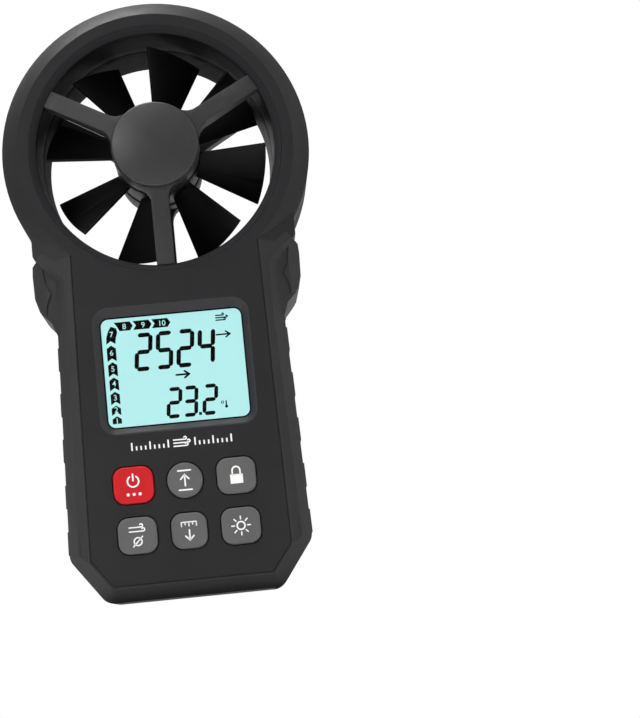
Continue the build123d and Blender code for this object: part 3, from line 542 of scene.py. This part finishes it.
SLOT_FINISHES: dict[str, Finish] = {
    "black_abs": CASE_ABS,
    "black_rubber": GRIP_RUBBER,
    "duct_abs": DUCT_PAINTED_LIGHT_AND_SHADE,
    "guard_abs": GUARD_ABS,
    "cap_abs": CAP_ABS,
    "blade_plastic": BLADE_PP,
    "bright_steel": PLATED_STEEL,
    "jewel": RUBY,
    "magnet": FERRITE,
    "green_board": GREEN_BOARD,
    "chip_plastic": CHIP_EPOXY,
    "socket_nylon": NYLON,
    "grey_insulation": GREY_PVC,
    "red_insulation": RED_PVC,
    "black_insulation": BLACK_PVC,
    "thermistor_bead": CHIP_EPOXY,
    "clear_window": CLEAR_ACRYLIC,
    "lcd_cell": LIT_CELL,
    "white_plastic": WHITE_PC,
    "zebra_rubber": GREY_PVC,
    "mat_silicone": MAT_SILICONE,
    "pill_carbon": CARBON_PILL,
    "grey_key": KEY_GREY,
    "red_key": KEY_RED,
    "battery_jacket": CELL_JACKET,
    "brass": TURNED_BRASS,
    "foam": FOAM,
}


class Wardrobe:
    """Builds each finish once and hands out its material."""

    def __init__(self) -> None:
        """Start with no materials."""
        self._made: dict[str, bpy.types.Material] = {}

    def get(self, finish: Finish) -> bpy.types.Material:
        """Give a finish's material, made on first use.

        Args:
            finish: one of the finishes above.

        Returns:
            The material.
        """
        if finish.name not in self._made:
            self._made[finish.name] = finish.build()
        return self._made[finish.name]

    def dress(self, piece: bpy.types.Object, finish: Finish) -> None:
        """Give a piece one finish all over.

        Args:
            piece: the object to dress.
            finish: one of the finishes above.
        """
        piece.data.materials.clear()
        piece.data.materials.append(self.get(finish))


# ==== Flat shapes, drawn in millimetres in the X and Z plane ====


def arc(centre: Point, radius: float, start: float, end: float, steps: int = 10) -> list[Point]:
    """Points along an arc.

    Args:
        centre: middle of the arc.
        radius: its radius.
        start: first angle in degrees, anticlockwise from +X.
        end: last angle in degrees.
        steps: number of chords.

    Returns:
        The points from start to end.
    """
    angles = [math.radians(start + (end - start) * i / steps) for i in range(steps + 1)]
    return [(centre[0] + radius * math.cos(a), centre[1] + radius * math.sin(a)) for a in angles]


def disc(centre: Point, radius: float, sides: int = 14) -> list[Point]:
    """Closed outline of a round spot, with the given number of sides."""
    return arc(centre, radius, 0, FULL_TURN, sides)[:-1]


def stroke(points: Sequence[Point], width: float, round_ends: bool = True) -> list[Point]:
    """Outline of a pen stroke along open points.

    Args:
        points: the pen's path.
        width: the stroke's width.
        round_ends: whether the ends are half circles.

    Returns:
        The closed outline.
    """
    path = [Vector(p) for p in points]
    half = width / 2
    sharpest = 0.4  # limits how far a corner's outer point reaches
    chords = 6  # round each end
    left: list[Vector] = []
    right: list[Vector] = []
    for i, here in enumerate(path):
        before = (here - path[i - 1]).normalized() if i else (path[1] - here).normalized()
        after = (path[i + 1] - here).normalized() if i < len(path) - 1 else before
        middle = (before + after).normalized()
        normal = Vector((-middle.y, middle.x))
        reach = half / max(sharpest, normal.dot(Vector((-after.y, after.x))))
        left.append(here + normal * reach)
        right.append(here - normal * reach)
    outline = [tuple(p) for p in left]
    if round_ends:
        turn = math.degrees(math.atan2(*(left[-1] - path[-1]).yx))
        outline += arc(tuple(path[-1]), half, turn, turn - 180, chords)[1:-1]
    outline += [tuple(p) for p in reversed(right)]
    if round_ends:
        turn = math.degrees(math.atan2(*(right[0] - path[0]).yx))
        outline += arc(tuple(path[0]), half, turn, turn - 180, chords)[1:-1]
    return outline


def shifted(shape: Sequence[Point], dx: float, dz: float, slant: float = 0) -> list[Point]:
    """Move and slant a shape.

    Args:
        shape: points of an outline.
        dx: shift to the right.
        dz: shift upwards.
        slant: shift to the right per unit of height.

    Returns:
        The new points.
    """
    return [(x + z * slant + dx, z + dz) for x, z in shape]


@dataclass
class Drawing:
    """Flat artwork: outlines to fill, and rings given as pairs of outlines."""

    outlines: list[list[Point]] = field(default_factory=list)
    rings: list[tuple[list[Point], list[Point]]] = field(default_factory=list)

    def fill(self, outline: Iterable[Point]) -> "Drawing":
        """Add a filled outline."""
        self.outlines.append(list(outline))
        return self

    def line(self, points: Sequence[Point], width: float, round_ends: bool = True) -> "Drawing":
        """Add a pen stroke."""
        return self.fill(stroke(points, width, round_ends))

    def ring(self, centre: Point, radius: float, width: float) -> "Drawing":
        """Add a full circle drawn with a pen."""
        self.rings.append((disc(centre, radius - width / 2, 32), disc(centre, radius + width / 2, 32)))
        return self

    def add(self, other: "Drawing", dx: float, dz: float, slant: float = 0) -> "Drawing":
        """Add a moved and slanted copy of another drawing."""
        self.outlines += [shifted(o, dx, dz, slant) for o in other.outlines]
        for inner, outer in other.rings:
            self.rings.append((shifted(inner, dx, dz, slant), shifted(outer, dx, dz, slant)))
        return self

    def build(self, name: str, y_front: float, thick: float) -> bpy.types.Object:
        """Make the artwork as a thin closed plate in front of a surface.

        Args:
            name: the object's name.
            y_front: depth of its front face, in metres.
            thick: its thickness, in metres.

        Returns:
            The new object.
        """
        mesh = bmesh.new()

        def corners(shape: Sequence[Point], y: float) -> list[bmesh.types.BMVert]:
            """Vertices of an outline at one depth."""
            return [mesh.verts.new((x * MM, y, z * MM)) for x, z in shape]

        for outline in self.outlines:
            front, back = corners(outline, y_front), corners(outline, y_front + thick)
            mesh.faces.new(front)
            mesh.faces.new(back[::-1])
            for i in range(len(outline)):
                j = (i + 1) % len(outline)
                mesh.faces.new((front[j], front[i], back[i], back[j]))
        for inner, outer in self.rings:
            loops = [corners(s, y) for y in (y_front, y_front + thick) for s in (inner, outer)]
            front_in, front_out, back_in, back_out = loops
            for i in range(len(inner)):
                j = (i + 1) % len(inner)
                mesh.faces.new((front_in[i], front_out[i], front_out[j], front_in[j]))
                mesh.faces.new((back_in[j], back_out[j], back_out[i], back_in[i]))
                mesh.faces.new((front_out[i], back_out[i], back_out[j], front_out[j]))
                mesh.faces.new((front_in[j], back_in[j], back_in[i], front_in[i]))
        return finished_piece(mesh, name)


def rounded_rectangle(width: float, height: float, radius: float, middle_z: float) -> list[Point]:
    """Points round a rectangle with rounded corners, centred on x = 0.

    Args:
        width: its width.
        height: its height.
        radius: radius of its corners.
        middle_z: height of its middle.

    Returns:
        The closed outline, with the same number of points whatever its size.
    """
    across, up = width / 2 - radius, height / 2 - radius
    points: list[Point] = []
    for start, side, rise in ((0, 1, 1), (90, -1, 1), (180, -1, -1), (270, 1, -1)):
        points += arc((side * across, middle_z + rise * up), radius, start, start + 90, 8)
    return points


def frame_ring(name: str, section: Sequence[tuple[list[Point], float]]) -> bpy.types.Object:
    """Make a closed frame whose section is a ring of matching outlines.

    Args:
        name: the object's name.
        section: outlines in millimetres, each with its depth in metres, in order round the section.

    Returns:
        The new object.
    """
    mesh = bmesh.new()
    loops = [[mesh.verts.new((x * MM, y, z * MM)) for x, z in outline] for outline, y in section]
    for loop, following in zip(loops, loops[1:] + loops[:1]):
        for i in range(len(loop)):
            j = (i + 1) % len(loop)
            mesh.faces.new((loop[i], loop[j], following[j], following[i]))
    return finished_piece(mesh, name)


def finished_piece(mesh: bmesh.types.BMesh, name: str) -> bpy.types.Object:
    """Turn a mesh into an object in the scene.

    Args:
        mesh: the mesh, which is freed.
        name: the object's name.

    Returns:
        The new object.
    """
    bmesh.ops.recalc_face_normals(mesh, faces=mesh.faces[:])
    data = bpy.data.meshes.new(name)
    mesh.to_mesh(data)
    mesh.free()
    piece = bpy.data.objects.new(name, data)
    bpy.context.scene.collection.objects.link(piece)
    return piece


def numerals(
    name: str, marks: Sequence[tuple[str, float, float]], tall: float, y_front: float
) -> bpy.types.Object:
    """Set small numbers in a plain face, as one thin closed plate.

    Args:
        name: the object's name.
        marks: each number with its middle in millimetres.
        tall: height of a figure in millimetres.
        y_front: depth of the front faces, in metres.

    Returns:
        The new object.
    """
    figure_share = 0.73  # a figure's height as a share of the face's size
    thick = 0.02 * MM
    mesh = bmesh.new()
    for text, x, z in marks:
        face = bpy.data.curves.new("figure", "FONT")
        face.body = text
        face.size = tall * MM / figure_share
        face.extrude = thick / 2
        face.offset = 0.008 * tall * MM
        face.align_x = "CENTER"
        holder = bpy.data.objects.new("figure", face)
        flat = bpy.data.meshes.new_from_object(holder)
        place = Matrix.Translation((x * MM, y_front + thick / 2, (z - tall / 2) * MM))
        flat.transform(place @ Matrix.Rotation(math.radians(90), 4, "X"))
        mesh.from_mesh(flat)
        bpy.data.objects.remove(holder)
        bpy.data.curves.remove(face)
        bpy.data.meshes.remove(flat)
    bmesh.ops.remove_doubles(mesh, verts=mesh.verts[:], dist=0.0001 * MM)
    return finished_piece(mesh, name)


class Bar(Enum):
    """The seven bars of a digit, named as display makers do."""

    TOP = "a"
    UPPER_RIGHT = "b"
    LOWER_RIGHT = "c"
    BOTTOM = "d"
    LOWER_LEFT = "e"
    UPPER_LEFT = "f"
    MIDDLE = "g"


# The bars that each figure of the two readings lights.
DIGIT_BARS = {
    "2": "abged",
    "3": "abgcd",
    "4": "fgbc",
    "5": "afgcd",
}


@dataclass(frozen=True)
class SegmentFont:
    """Seven-bar digits of a given size, in millimetres."""

    width: float
    height: float
    pen: float
    gap: float

    def digit(self, figure: str) -> Drawing:
        """Draw one digit with its lower left corner at the origin.

        Args:
            figure: the digit.

        Returns:
            The drawing.
        """
        art = Drawing()
        right, top, middle = self.width, self.height, self.height / 2
        ends = {
            Bar.TOP: ((0, top), (right, top)),
            Bar.UPPER_RIGHT: ((right, middle), (right, top)),
            Bar.LOWER_RIGHT: ((right, 0), (right, middle)),
            Bar.BOTTOM: ((0, 0), (right, 0)),
            Bar.LOWER_LEFT: ((0, 0), (0, middle)),
            Bar.UPPER_LEFT: ((0, middle), (0, top)),
            Bar.MIDDLE: ((0, middle), (right, middle)),
        }
        for bar, (start, end) in ends.items():
            if bar.value in DIGIT_BARS[figure]:
                art.fill(self._bar(start, end))
        return art

    def _bar(self, start: Point, end: Point) -> list[Point]:
        """Outline of one bar with blunt pointed ends.

        Args:
            start: one end of the bar's middle line.
            end: its other end.

        Returns:
            The closed outline.
        """
        a, b = Vector(start), Vector(end)
        along = (b - a).normalized()
        across = Vector((-along.y, along.x)) * self.pen / 2
        a, b = a + along * self.gap, b - along * self.gap
        inset = along * self.pen * 0.42
        blunt = across * 0.45
        shape = (a - blunt, a + inset - across, b - inset - across, b - blunt)
        shape += (b + blunt, b - inset + across, a + inset + across, a + blunt)
        return [tuple(p) for p in shape]


# ==== Sub-assemblies ====


@dataclass
class CadShell:
    """The carried-over CAD nodes: their finishes, and the small edge radii that moulding leaves."""

    wardrobe: Wardrobe
    edge_mm: dict[str, float]

    def dress(self) -> None:
        """Give each CAD node its finish and softened edges."""
        slots = {entry["node"]: entry["material_slot"] for entry in frame["record"]["subparts"]}
        for name, node in frame["nodes"].items():
            self.wardrobe.dress(node, SLOT_FINISHES[slots[name]])
            if name in self.edge_mm:
                self._soften(node, self.edge_mm[name] * MM)
            LOG.info("node %s in %s", name, slots[name])

    @staticmethod
    def _soften(node: bpy.types.Object, radius: float) -> None:
        """Round a node's edges with modifiers that leave its own mesh alone.

        Args:
            node: the CAD node's object.
            radius: edge radius in metres.
        """
        weld_mm, sharp_angle = 0.002, 32
        weld = node.modifiers.new("weld", "WELD")
        weld.merge_threshold = weld_mm * MM
        bevel = node.modifiers.new("edge_radius", "BEVEL")
        bevel.width = radius
        bevel.segments = 2
        bevel.limit_method = "ANGLE"
        bevel.angle_limit = math.radians(sharp_angle)
        bevel.use_clamp_overlap = True
        bevel.harden_normals = True
        bevel.miter_outer = "MITER_ARC"


@dataclass
class DisplayArt:
    """What the liquid crystal cell shows: two readings, a wind scale and small signs."""

    wardrobe: Wardrobe
    big: SegmentFont = SegmentFont(3.6, 9.3, 1.2, 0.16)
    small: SegmentFont = SegmentFont(3.15, 7.4, 1.05, 0.18)
    number_tall: float = 1.55
    slant: float = 0.1
    segment_proud: float = 0.03
    segment_thick: float = 0.025
    number_proud: float = 0.055

    def build(self) -> None:
        """Draw the dark segments on the cell, and the pale numbers on the scale's arrows."""
        y_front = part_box("lcd_glass")[0].y
        dark = Drawing()
        for i, figure in enumerate("2524"):
            dark.add(self.big.digit(figure), -10.45 + 5.7 * i, 62.2, self.slant)
        for figure, x in (("2", -3.0), ("3", 1.35), ("2", 6.75)):
            dark.add(self.small.digit(figure), x, 48.5, self.slant)
        dark.fill([(5.3, 48.2), (6.1, 48.2), (6.1, 49.0), (5.3, 49.0)])
        marks = self._scale(dark)
        self._signs(dark)
        segments = dark.build("lcd_segments", y_front - self.segment_proud * MM, self.segment_thick * MM)
        numbers_y = y_front - self.number_proud * MM
        numbers = numerals("lcd_scale_numbers", marks, self.number_tall, numbers_y)
        for piece, finish in ((segments, SEGMENT_DARK), (numbers, LIT_CELL)):
            self.wardrobe.dress(piece, finish)
            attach(piece, "body")
            LOG.info("display artwork: %s", piece.name)

    @staticmethod
    def _scale(dark: Drawing) -> list[tuple[str, float, float]]:
        """Draw the wind force scale: arrows that climb the left side and turn along the top.

        Args:
            dark: the drawing that takes the arrows.

        Returns:
            The arrows' numbers with their middles.
        """
        left, right, nose = -18.1, -15.6, 0.85
        lows = (47.9, 50.2, 53.1, 56.9, 60.8, 65.0)
        tips = (50.0, 52.9, 56.7, 60.6, 64.8, 69.4)
        middle = (left + right) / 2
        marks = []
        for i, (low, tip) in enumerate(zip(lows, tips)):
            tail = low if i == 0 else low + nose
            foot = [(left, low), (middle, tail), (right, low)]
            dark.fill(foot + [(right, tip - nose), (middle, tip), (left, tip - nose)])
            marks.append((str(i + 1), middle, (tail + tip - nose / 2) / 2))
        turn = [(left, 69.75), (middle, 70.6), (right, 69.75), (-15.35, 71.4), (-14.85, 72.9), (-15.1, 74.0)]
        dark.fill(turn + [(-16.5, 74.6), (-17.3, 73.4), (-17.9, 71.8)])
        marks.append(("7", -16.5, 72.5))
        bottom, top = 73.15, 75.6
        centre = (bottom + top) / 2
        for figure, x, foot_x in (("8", -15.6, -14.2), ("9", -10.45, -10.45), ("10", -5.35, -5.35)):
            tail = [(x, top), (x + 0.8, centre), (foot_x, bottom)]
            dark.fill(tail + [(x + 4.3, bottom), (x + 5.1, centre), (x + 4.3, top)])
            marks.append((figure, x + 2.75, centre))
        return marks

    @staticmethod
    def _signs(dark: Drawing) -> None:
        """Small pictures beside the readings: wind, a rate of flow and a degree ring with a thermometer."""
        pen = 0.36
        for i, reach in enumerate((2.3, 2.9, 1.9)):
            z = 73.7 + 0.66 * i
            dark.line([(12.2, z), (12.2 + reach, z)] + arc((12.2 + reach, z + 0.25), 0.25, -60, 120, 5), pen)
        dark.line([(11.9, 69.7), (15.4, 69.7)], 0.42)
        dark.line([(14.5, 70.5), (15.6, 69.7), (14.5, 68.9)], 0.42)
        dark.line([(0.1, 59.7), (3.4, 59.7)], 0.52)
        dark.line([(2.4, 60.6), (3.6, 59.7), (2.4, 58.8)], 0.52)
        dark.ring((11.9, 51.1), 0.32, 0.2)
        dark.line([(12.9, 50.0), (12.9, 51.4)], 0.36)
        dark.fill(disc((12.9, 49.9), 0.42))


@dataclass
class DisplaySurround:
    """Frame set into the panel round the window: a fine lip and a slope down to the picture, painted lighter
    than the panel as painted light, and a black line of painted shade.
    """

    wardrobe: Wardrobe
    view: Point = (38.9, 30.4)
    outer: Point = (42.6, 35.0)
    outer_lift: float = 0.35
    lip_proud: float = 0.1
    skin: float = 0.04
    # width of the black line of painted shade at the picture's edge
    shade_line_width: float = 0.36
    rim_width: float = 0.45
    rim_edge: float = 0.15
    outer_round: float = 4.4
    view_round: float = 2.4

    def build(self) -> None:
        """Make the frame, painted lighter, and the black line inside it, which is painted shade in the
        recess.
        """
        low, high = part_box("lcd_window")
        middle = (low.z + high.z) / 2 / MM
        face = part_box("front_case")[0].y
        inner_y = low.y
        over, under = middle + self.outer_lift, middle
        width, height = self.outer
        edge, rim = 2 * self.rim_edge, 2 * self.rim_width
        outside = rounded_rectangle(width, height, self.outer_round, over)
        crest = rounded_rectangle(width - edge, height - edge, self.outer_round - 0.2, over)
        inside = rounded_rectangle(width - rim, height - rim, self.outer_round - 0.5, over)
        opening = rounded_rectangle(*self.view, self.view_round, under)
        behind = 0.2 * self.skin * MM
        slope = (
            (outside, face - self.skin * MM),
            (crest, face - self.lip_proud * MM),
            (inside, face - self.skin * MM),
            (opening, inner_y - self.skin * 2 * MM),
            (opening, inner_y - self.skin * MM),
            (inside, face - behind),
            (outside, face - behind),
        )
        frame_piece = frame_ring("display_surround", slope)
        # a black ring of painted shade, where the recess at the window's edge lies in shade
        outer_line = rounded_rectangle(self.view[0] + 0.1, self.view[1] + 0.1, self.view_round, under)
        inner = [side - 2 * self.shade_line_width for side in self.view]
        inner_line = rounded_rectangle(*inner, 2.0, under)
        front, back = inner_y - 3 * self.skin * MM, inner_y - behind
        section = ((outer_line, front), (inner_line, front), (inner_line, back), (outer_line, back))
        shade_line = frame_ring("display_edge_painted_shade", section)
        # the frame's lighter colour is painted light, and the black ring is painted shade
        for piece, finish in ((frame_piece, SURROUND_PAINTED_LIGHTER), (shade_line, WINDOW_EDGE_SHADE)):
            self.wardrobe.dress(piece, finish)
            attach(piece, "body")
            LOG.info("%s round the window", piece.name)


@dataclass
class Keypad:
    """Pictures printed on the six keys."""

    wardrobe: Wardrobe
    pen: float = 0.42
    fine_pen: float = 0.34

    def build(self) -> None:
        """Print each key's picture on its top, riding with the key."""
        pictures = {
            "power_key": self._power(),
            "min_max_key": self._min_max(),
            "set_hold_key": self._hold(),
            "vel_avg_key": self._speed(),
            "unit_key": self._unit(),
            "light_key": self._light(),
        }
        for key, art in pictures.items():
            low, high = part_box(key)
            centre = ((low.x + high.x) / 2 / MM, (low.z + high.z) / 2 / MM)
            placed = Drawing().add(art, *centre)
            piece = placed.build(key + "_print", low.y - PRINT_PROUD * MM, PRINT_THICK * MM)
            self.wardrobe.dress(piece, PRINT_WHITE)
            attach(piece, key)
            LOG.info("print on %s", key)

    def _power(self) -> Drawing:
        """On and off sign over three dots."""
        art = Drawing().line(arc((0, 1.0), 1.5, 125, 415, 20), self.pen)
        art.line([(0, 1.2), (0, 2.9)], self.pen)
        for x in (-1.6, 0, 1.6):
            art.fill(disc((x, -2.5), 0.42))
        return art

    def _min_max(self) -> Drawing:
        """Arrow between a lower and an upper bar."""
        art = Drawing().line([(-1.7, 2.6), (1.7, 2.6)], self.pen)
        art.line([(-1.7, -2.6), (1.7, -2.6)], self.pen)
        art.line([(0, -1.5), (0, 1.3)], self.pen)
        return art.line([(-1.1, 0.3), (0, 1.5), (1.1, 0.3)], self.pen)

    def _hold(self) -> Drawing:
        """Padlock."""
        art = Drawing().fill([(-1.7, -2.2), (1.7, -2.2), (1.7, 0.3), (-1.7, 0.3)])
        shackle = [(-1.05, 0.2), (-1.05, 1.2)] + arc((0, 1.3), 1.05, 180, 0, 10) + [(1.05, 0.2)]
        return art.line(shackle, self.pen)

    def _speed(self) -> Drawing:
        """Wind strokes over a mean sign."""
        art = Drawing()
        for z, reach in ((2.2, 1.5), (1.1, 2.0)):
            end, curl = reach - 0.4, 0.42
            art.line([(-2.1, z), (end, z)] + arc((end, z + curl), curl, -60, 150, 6), self.fine_pen)
        art.ring((0, -1.6), 1.05, self.pen * 0.85)
        return art.line([(-1.3, -2.9), (1.3, -0.3)], self.pen * 0.85)

    def _unit(self) -> Drawing:
        """Ruler over a downward arrow."""
        art = Drawing().line([(-2.0, 2.3), (2.0, 2.3)], self.fine_pen)
        for i in range(5):
            x = -2.0 + i
            art.line([(x, 2.2), (x, 1.2 if i % 2 == 0 else 1.6)], 0.3)
        art.line([(0, 0.2), (0, -2.3)], self.pen)
        return art.line([(-1.1, -1.4), (0, -2.5), (1.1, -1.4)], self.pen)

    def _light(self) -> Drawing:
        """Lamp with rays."""
        art = Drawing().ring((0, 0), 1.05, self.pen)
        rays = 8
        for i in range(rays):
            angle = math.radians(FULL_TURN / rays * i)
            ray = [(r * math.cos(angle), r * math.sin(angle)) for r in (1.75, 2.5)]
            art.line(ray, 0.36)
        return art


@dataclass
class PanelPrint:
    """White print between the display and the keys: a wind sign in a graduated line."""

    wardrobe: Wardrobe
    height_z: float = 41.0

    def build(self) -> None:
        """Print the line on the panel."""
        art = Drawing()
        z = self.height_z
        marks, pitch, first = 9, 1.22, 3.6
        low, long_mark, short_mark = z - 1.05, 2.1, 1.1
        for side in (-1, 1):
            for i in range(marks):
                x = side * (first + i * pitch)
                tall = long_mark if i % 4 == 0 else short_mark
                art.line([(x, low), (x, low + tall)], 0.42, False)
        for i, reach in enumerate((1.3, 1.9, 1.0)):
            level = z - 0.95 + 0.85 * i
            art.line([(-2.1, level), (reach, level)] + arc((reach, level + 0.36), 0.36, -60, 150, 6), 0.36)
        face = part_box("front_case")[0].y
        piece = art.build("panel_print", face - PRINT_PROUD * MM, PRINT_THICK * MM)
        self.wardrobe.dress(piece, PRINT_WHITE)
        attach(piece, "body")
        LOG.info("panel print")


# ==== Studio ====


@dataclass
class Softbox:
    """A large soft lamp that faces the object."""

    name: str
    place: tuple[float, float, float]
    size: tuple[float, float]
    power: float

    def build(self, target: Vector) -> None:
        """Hang the lamp.

        Args:
            target: the point it faces.
        """
        lamp = bpy.data.lights.new(self.name, "AREA")
        lamp.shape = "RECTANGLE"
        lamp.size, lamp.size_y = self.size
        lamp.energy = self.power
        holder = bpy.data.objects.new(self.name, lamp)
        bpy.context.scene.collection.objects.link(holder)
        holder.location = self.place
        holder.rotation_euler = (target - holder.location).to_track_quat("-Z", "Y").to_euler()


@dataclass
class Studio:
    """Pale floor and surroundings, soft lamps and the camera."""

    camera_place: tuple[float, float, float] = (0.01459, -0.49475, -0.00952)
    camera_target: tuple[float, float, float] = (0.03928, -0.0135, 0.05997)
    camera_roll: float = -5.78
    lens_mm: float = 90.0
    floor_radius: float = 0.62
    floor_clear: float = 0.2
    floor_gap: float = 0.00008
    floor_hole: tuple[float, float, float] = (0.0215, -0.0098, 0.0147)
    wall_low: float = 0.36
    wall_high: float = 0.62

    def build(self) -> None:
        """Set up everything round the object."""
        self._floor()
        self._surroundings()
        self._camera()
        target = Vector((0, 0, 0.09))
        for lamp in (
            Softbox("overhead_light", (-0.14, -0.06, 0.85), (0.5, 0.4), 6.5),
            Softbox("front_light", (-0.45, -0.60, 0.38), (0.3, 0.4), 1.6),
            Softbox("side_light", (0.75, -0.20, 0.34), (0.4, 0.6), 1.1),
            Softbox("back_light", (-0.35, 0.70, 0.50), (0.5, 0.5), 2.0),
        ):
            lamp.build(target)

    def _floor(self) -> None:
        """Pale floor round the foot, seen only from above, with a hole that lets light reach the foot."""
        mesh = bmesh.new()
        sides = 96
        bmesh.ops.create_circle(mesh, cap_ends=False, segments=sides, radius=self.floor_radius)
        half, front, back = self.floor_hole
        hole = ((-half, front), (half, front), (half, back), (-half, back))
        corners = [mesh.verts.new((x, y, 0)) for x, y in hole]
        for i, corner in enumerate(corners):
            mesh.edges.new((corners[i - 1], corner))
        bmesh.ops.triangle_fill(mesh, edges=mesh.edges[:], use_beauty=True, normal=(0, 0, 1))
        data = bpy.data.meshes.new("floor")
        mesh.to_mesh(data)
        mesh.free()
        floor = bpy.data.objects.new("floor", data)
        floor.location.z = -self.floor_gap
        bpy.context.scene.collection.objects.link(floor)
        material, tree = empty_material("floor_pale_matt")
        paper = add_node(tree, "ShaderNodeBsdfDiffuse", {"Color": srgb("f2f2f1")}).outputs["BSDF"]
        clear = add_node(tree, "ShaderNodeBsdfTransparent").outputs["BSDF"]
        place = add_node(tree, "ShaderNodeTexCoord").outputs["Object"]
        distance = add_node(tree, "ShaderNodeVectorMath", {"operation": "LENGTH"}, {0: place})
        fade = add_node(
            tree,
            "ShaderNodeMapRange",
            {"From Min": self.floor_clear, "From Max": self.floor_radius, "interpolation_type": "SMOOTHSTEP"},
            {"Value": distance.outputs["Value"]},
        )
        sheet = add_node(tree, "ShaderNodeMixShader", links={0: fade.outputs["Result"], 1: paper, 2: clear})
        under = add_node(tree, "ShaderNodeNewGeometry").outputs["Backfacing"]
        links = {0: under, 1: sheet.outputs["Shader"], 2: clear}
        mix = add_node(tree, "ShaderNodeMixShader", links=links)
        add_node(tree, "ShaderNodeOutputMaterial", links={"Surface": mix.outputs["Shader"]})
        data.materials.append(material)

    def _surroundings(self) -> None:
        """White backdrop, with dimmer walls round the object so that dark surfaces stay dark."""
        world = bpy.data.worlds.new("white_studio")
        world.use_nodes = True
        tree = world.node_tree
        tree.nodes.clear()
        way = add_node(tree, "ShaderNodeTexCoord").outputs["Generated"]
        height = add_node(tree, "ShaderNodeSeparateXYZ", links={"Vector": way}).outputs["Z"]
        level = add_node(
            tree,
            "ShaderNodeMapRange",
            {"From Min": -0.5, "From Max": 0.9, "To Min": self.wall_low, "To Max": self.wall_high},
            {"Value": height},
        )
        walls = add_node(
            tree, "ShaderNodeBackground", {"Color": srgb("ffffff")}, {"Strength": level.outputs["Result"]}
        )
        backdrop = add_node(tree, "ShaderNodeBackground", {"Color": srgb("ffffff"), "Strength": 1.0})
        seen = add_node(tree, "ShaderNodeLightPath").outputs["Is Camera Ray"]
        either = add_node(
            tree,
            "ShaderNodeMixShader",
            links={0: seen, 1: walls.outputs["Background"], 2: backdrop.outputs["Background"]},
        )
        add_node(tree, "ShaderNodeOutputWorld", links={"Surface": either.outputs["Shader"]})
        bpy.context.scene.world = world
        bpy.context.scene.view_settings.view_transform = "Standard"

    def _camera(self) -> None:
        """Camera at the height of the foot, tilted up and slightly rolled."""
        place, target = Vector(self.camera_place), Vector(self.camera_target)
        ahead = (target - place).normalized()
        level = ahead.cross(Vector((0, 0, 1))).normalized()
        rise = level.cross(ahead)
        roll = math.radians(self.camera_roll)
        right = level * math.cos(roll) + rise * math.sin(roll)
        up = rise * math.cos(roll) - level * math.sin(roll)
        lens = bpy.data.cameras.new("camera")
        lens.lens = self.lens_mm
        lens.clip_start = 0.01
        camera = bpy.data.objects.new("camera", lens)
        turn = Matrix((right, up, -ahead)).transposed().to_4x4()
        camera.matrix_world = Matrix.Translation(place) @ turn
        bpy.context.scene.collection.objects.link(camera)
        bpy.context.scene.camera = camera


def main() -> None:
    """Build the looks in order."""
    logging.basicConfig(level=logging.INFO, format="%(name)s: %(message)s")
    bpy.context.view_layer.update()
    wardrobe = Wardrobe()
    edges = {
        "front_case": 0.25,
        "rear_case": 0.25,
        "front_grip_jacket": 0.3,
        "rear_grip_jacket": 0.3,
        "front_duct_liner": 0.2,
        "rear_duct_liner": 0.2,
        "front_guard": 0.4,
        "rear_guard": 0.4,
        "battery_cover": 0.3,
        "impeller": 0.12,
    }
    CadShell(wardrobe, edges).dress()
    DisplayArt(wardrobe).build()
    DisplaySurround(wardrobe).build()
    Keypad(wardrobe).build()
    PanelPrint(wardrobe).build()
    Studio().build()


if __name__ == "__main__":
    main()
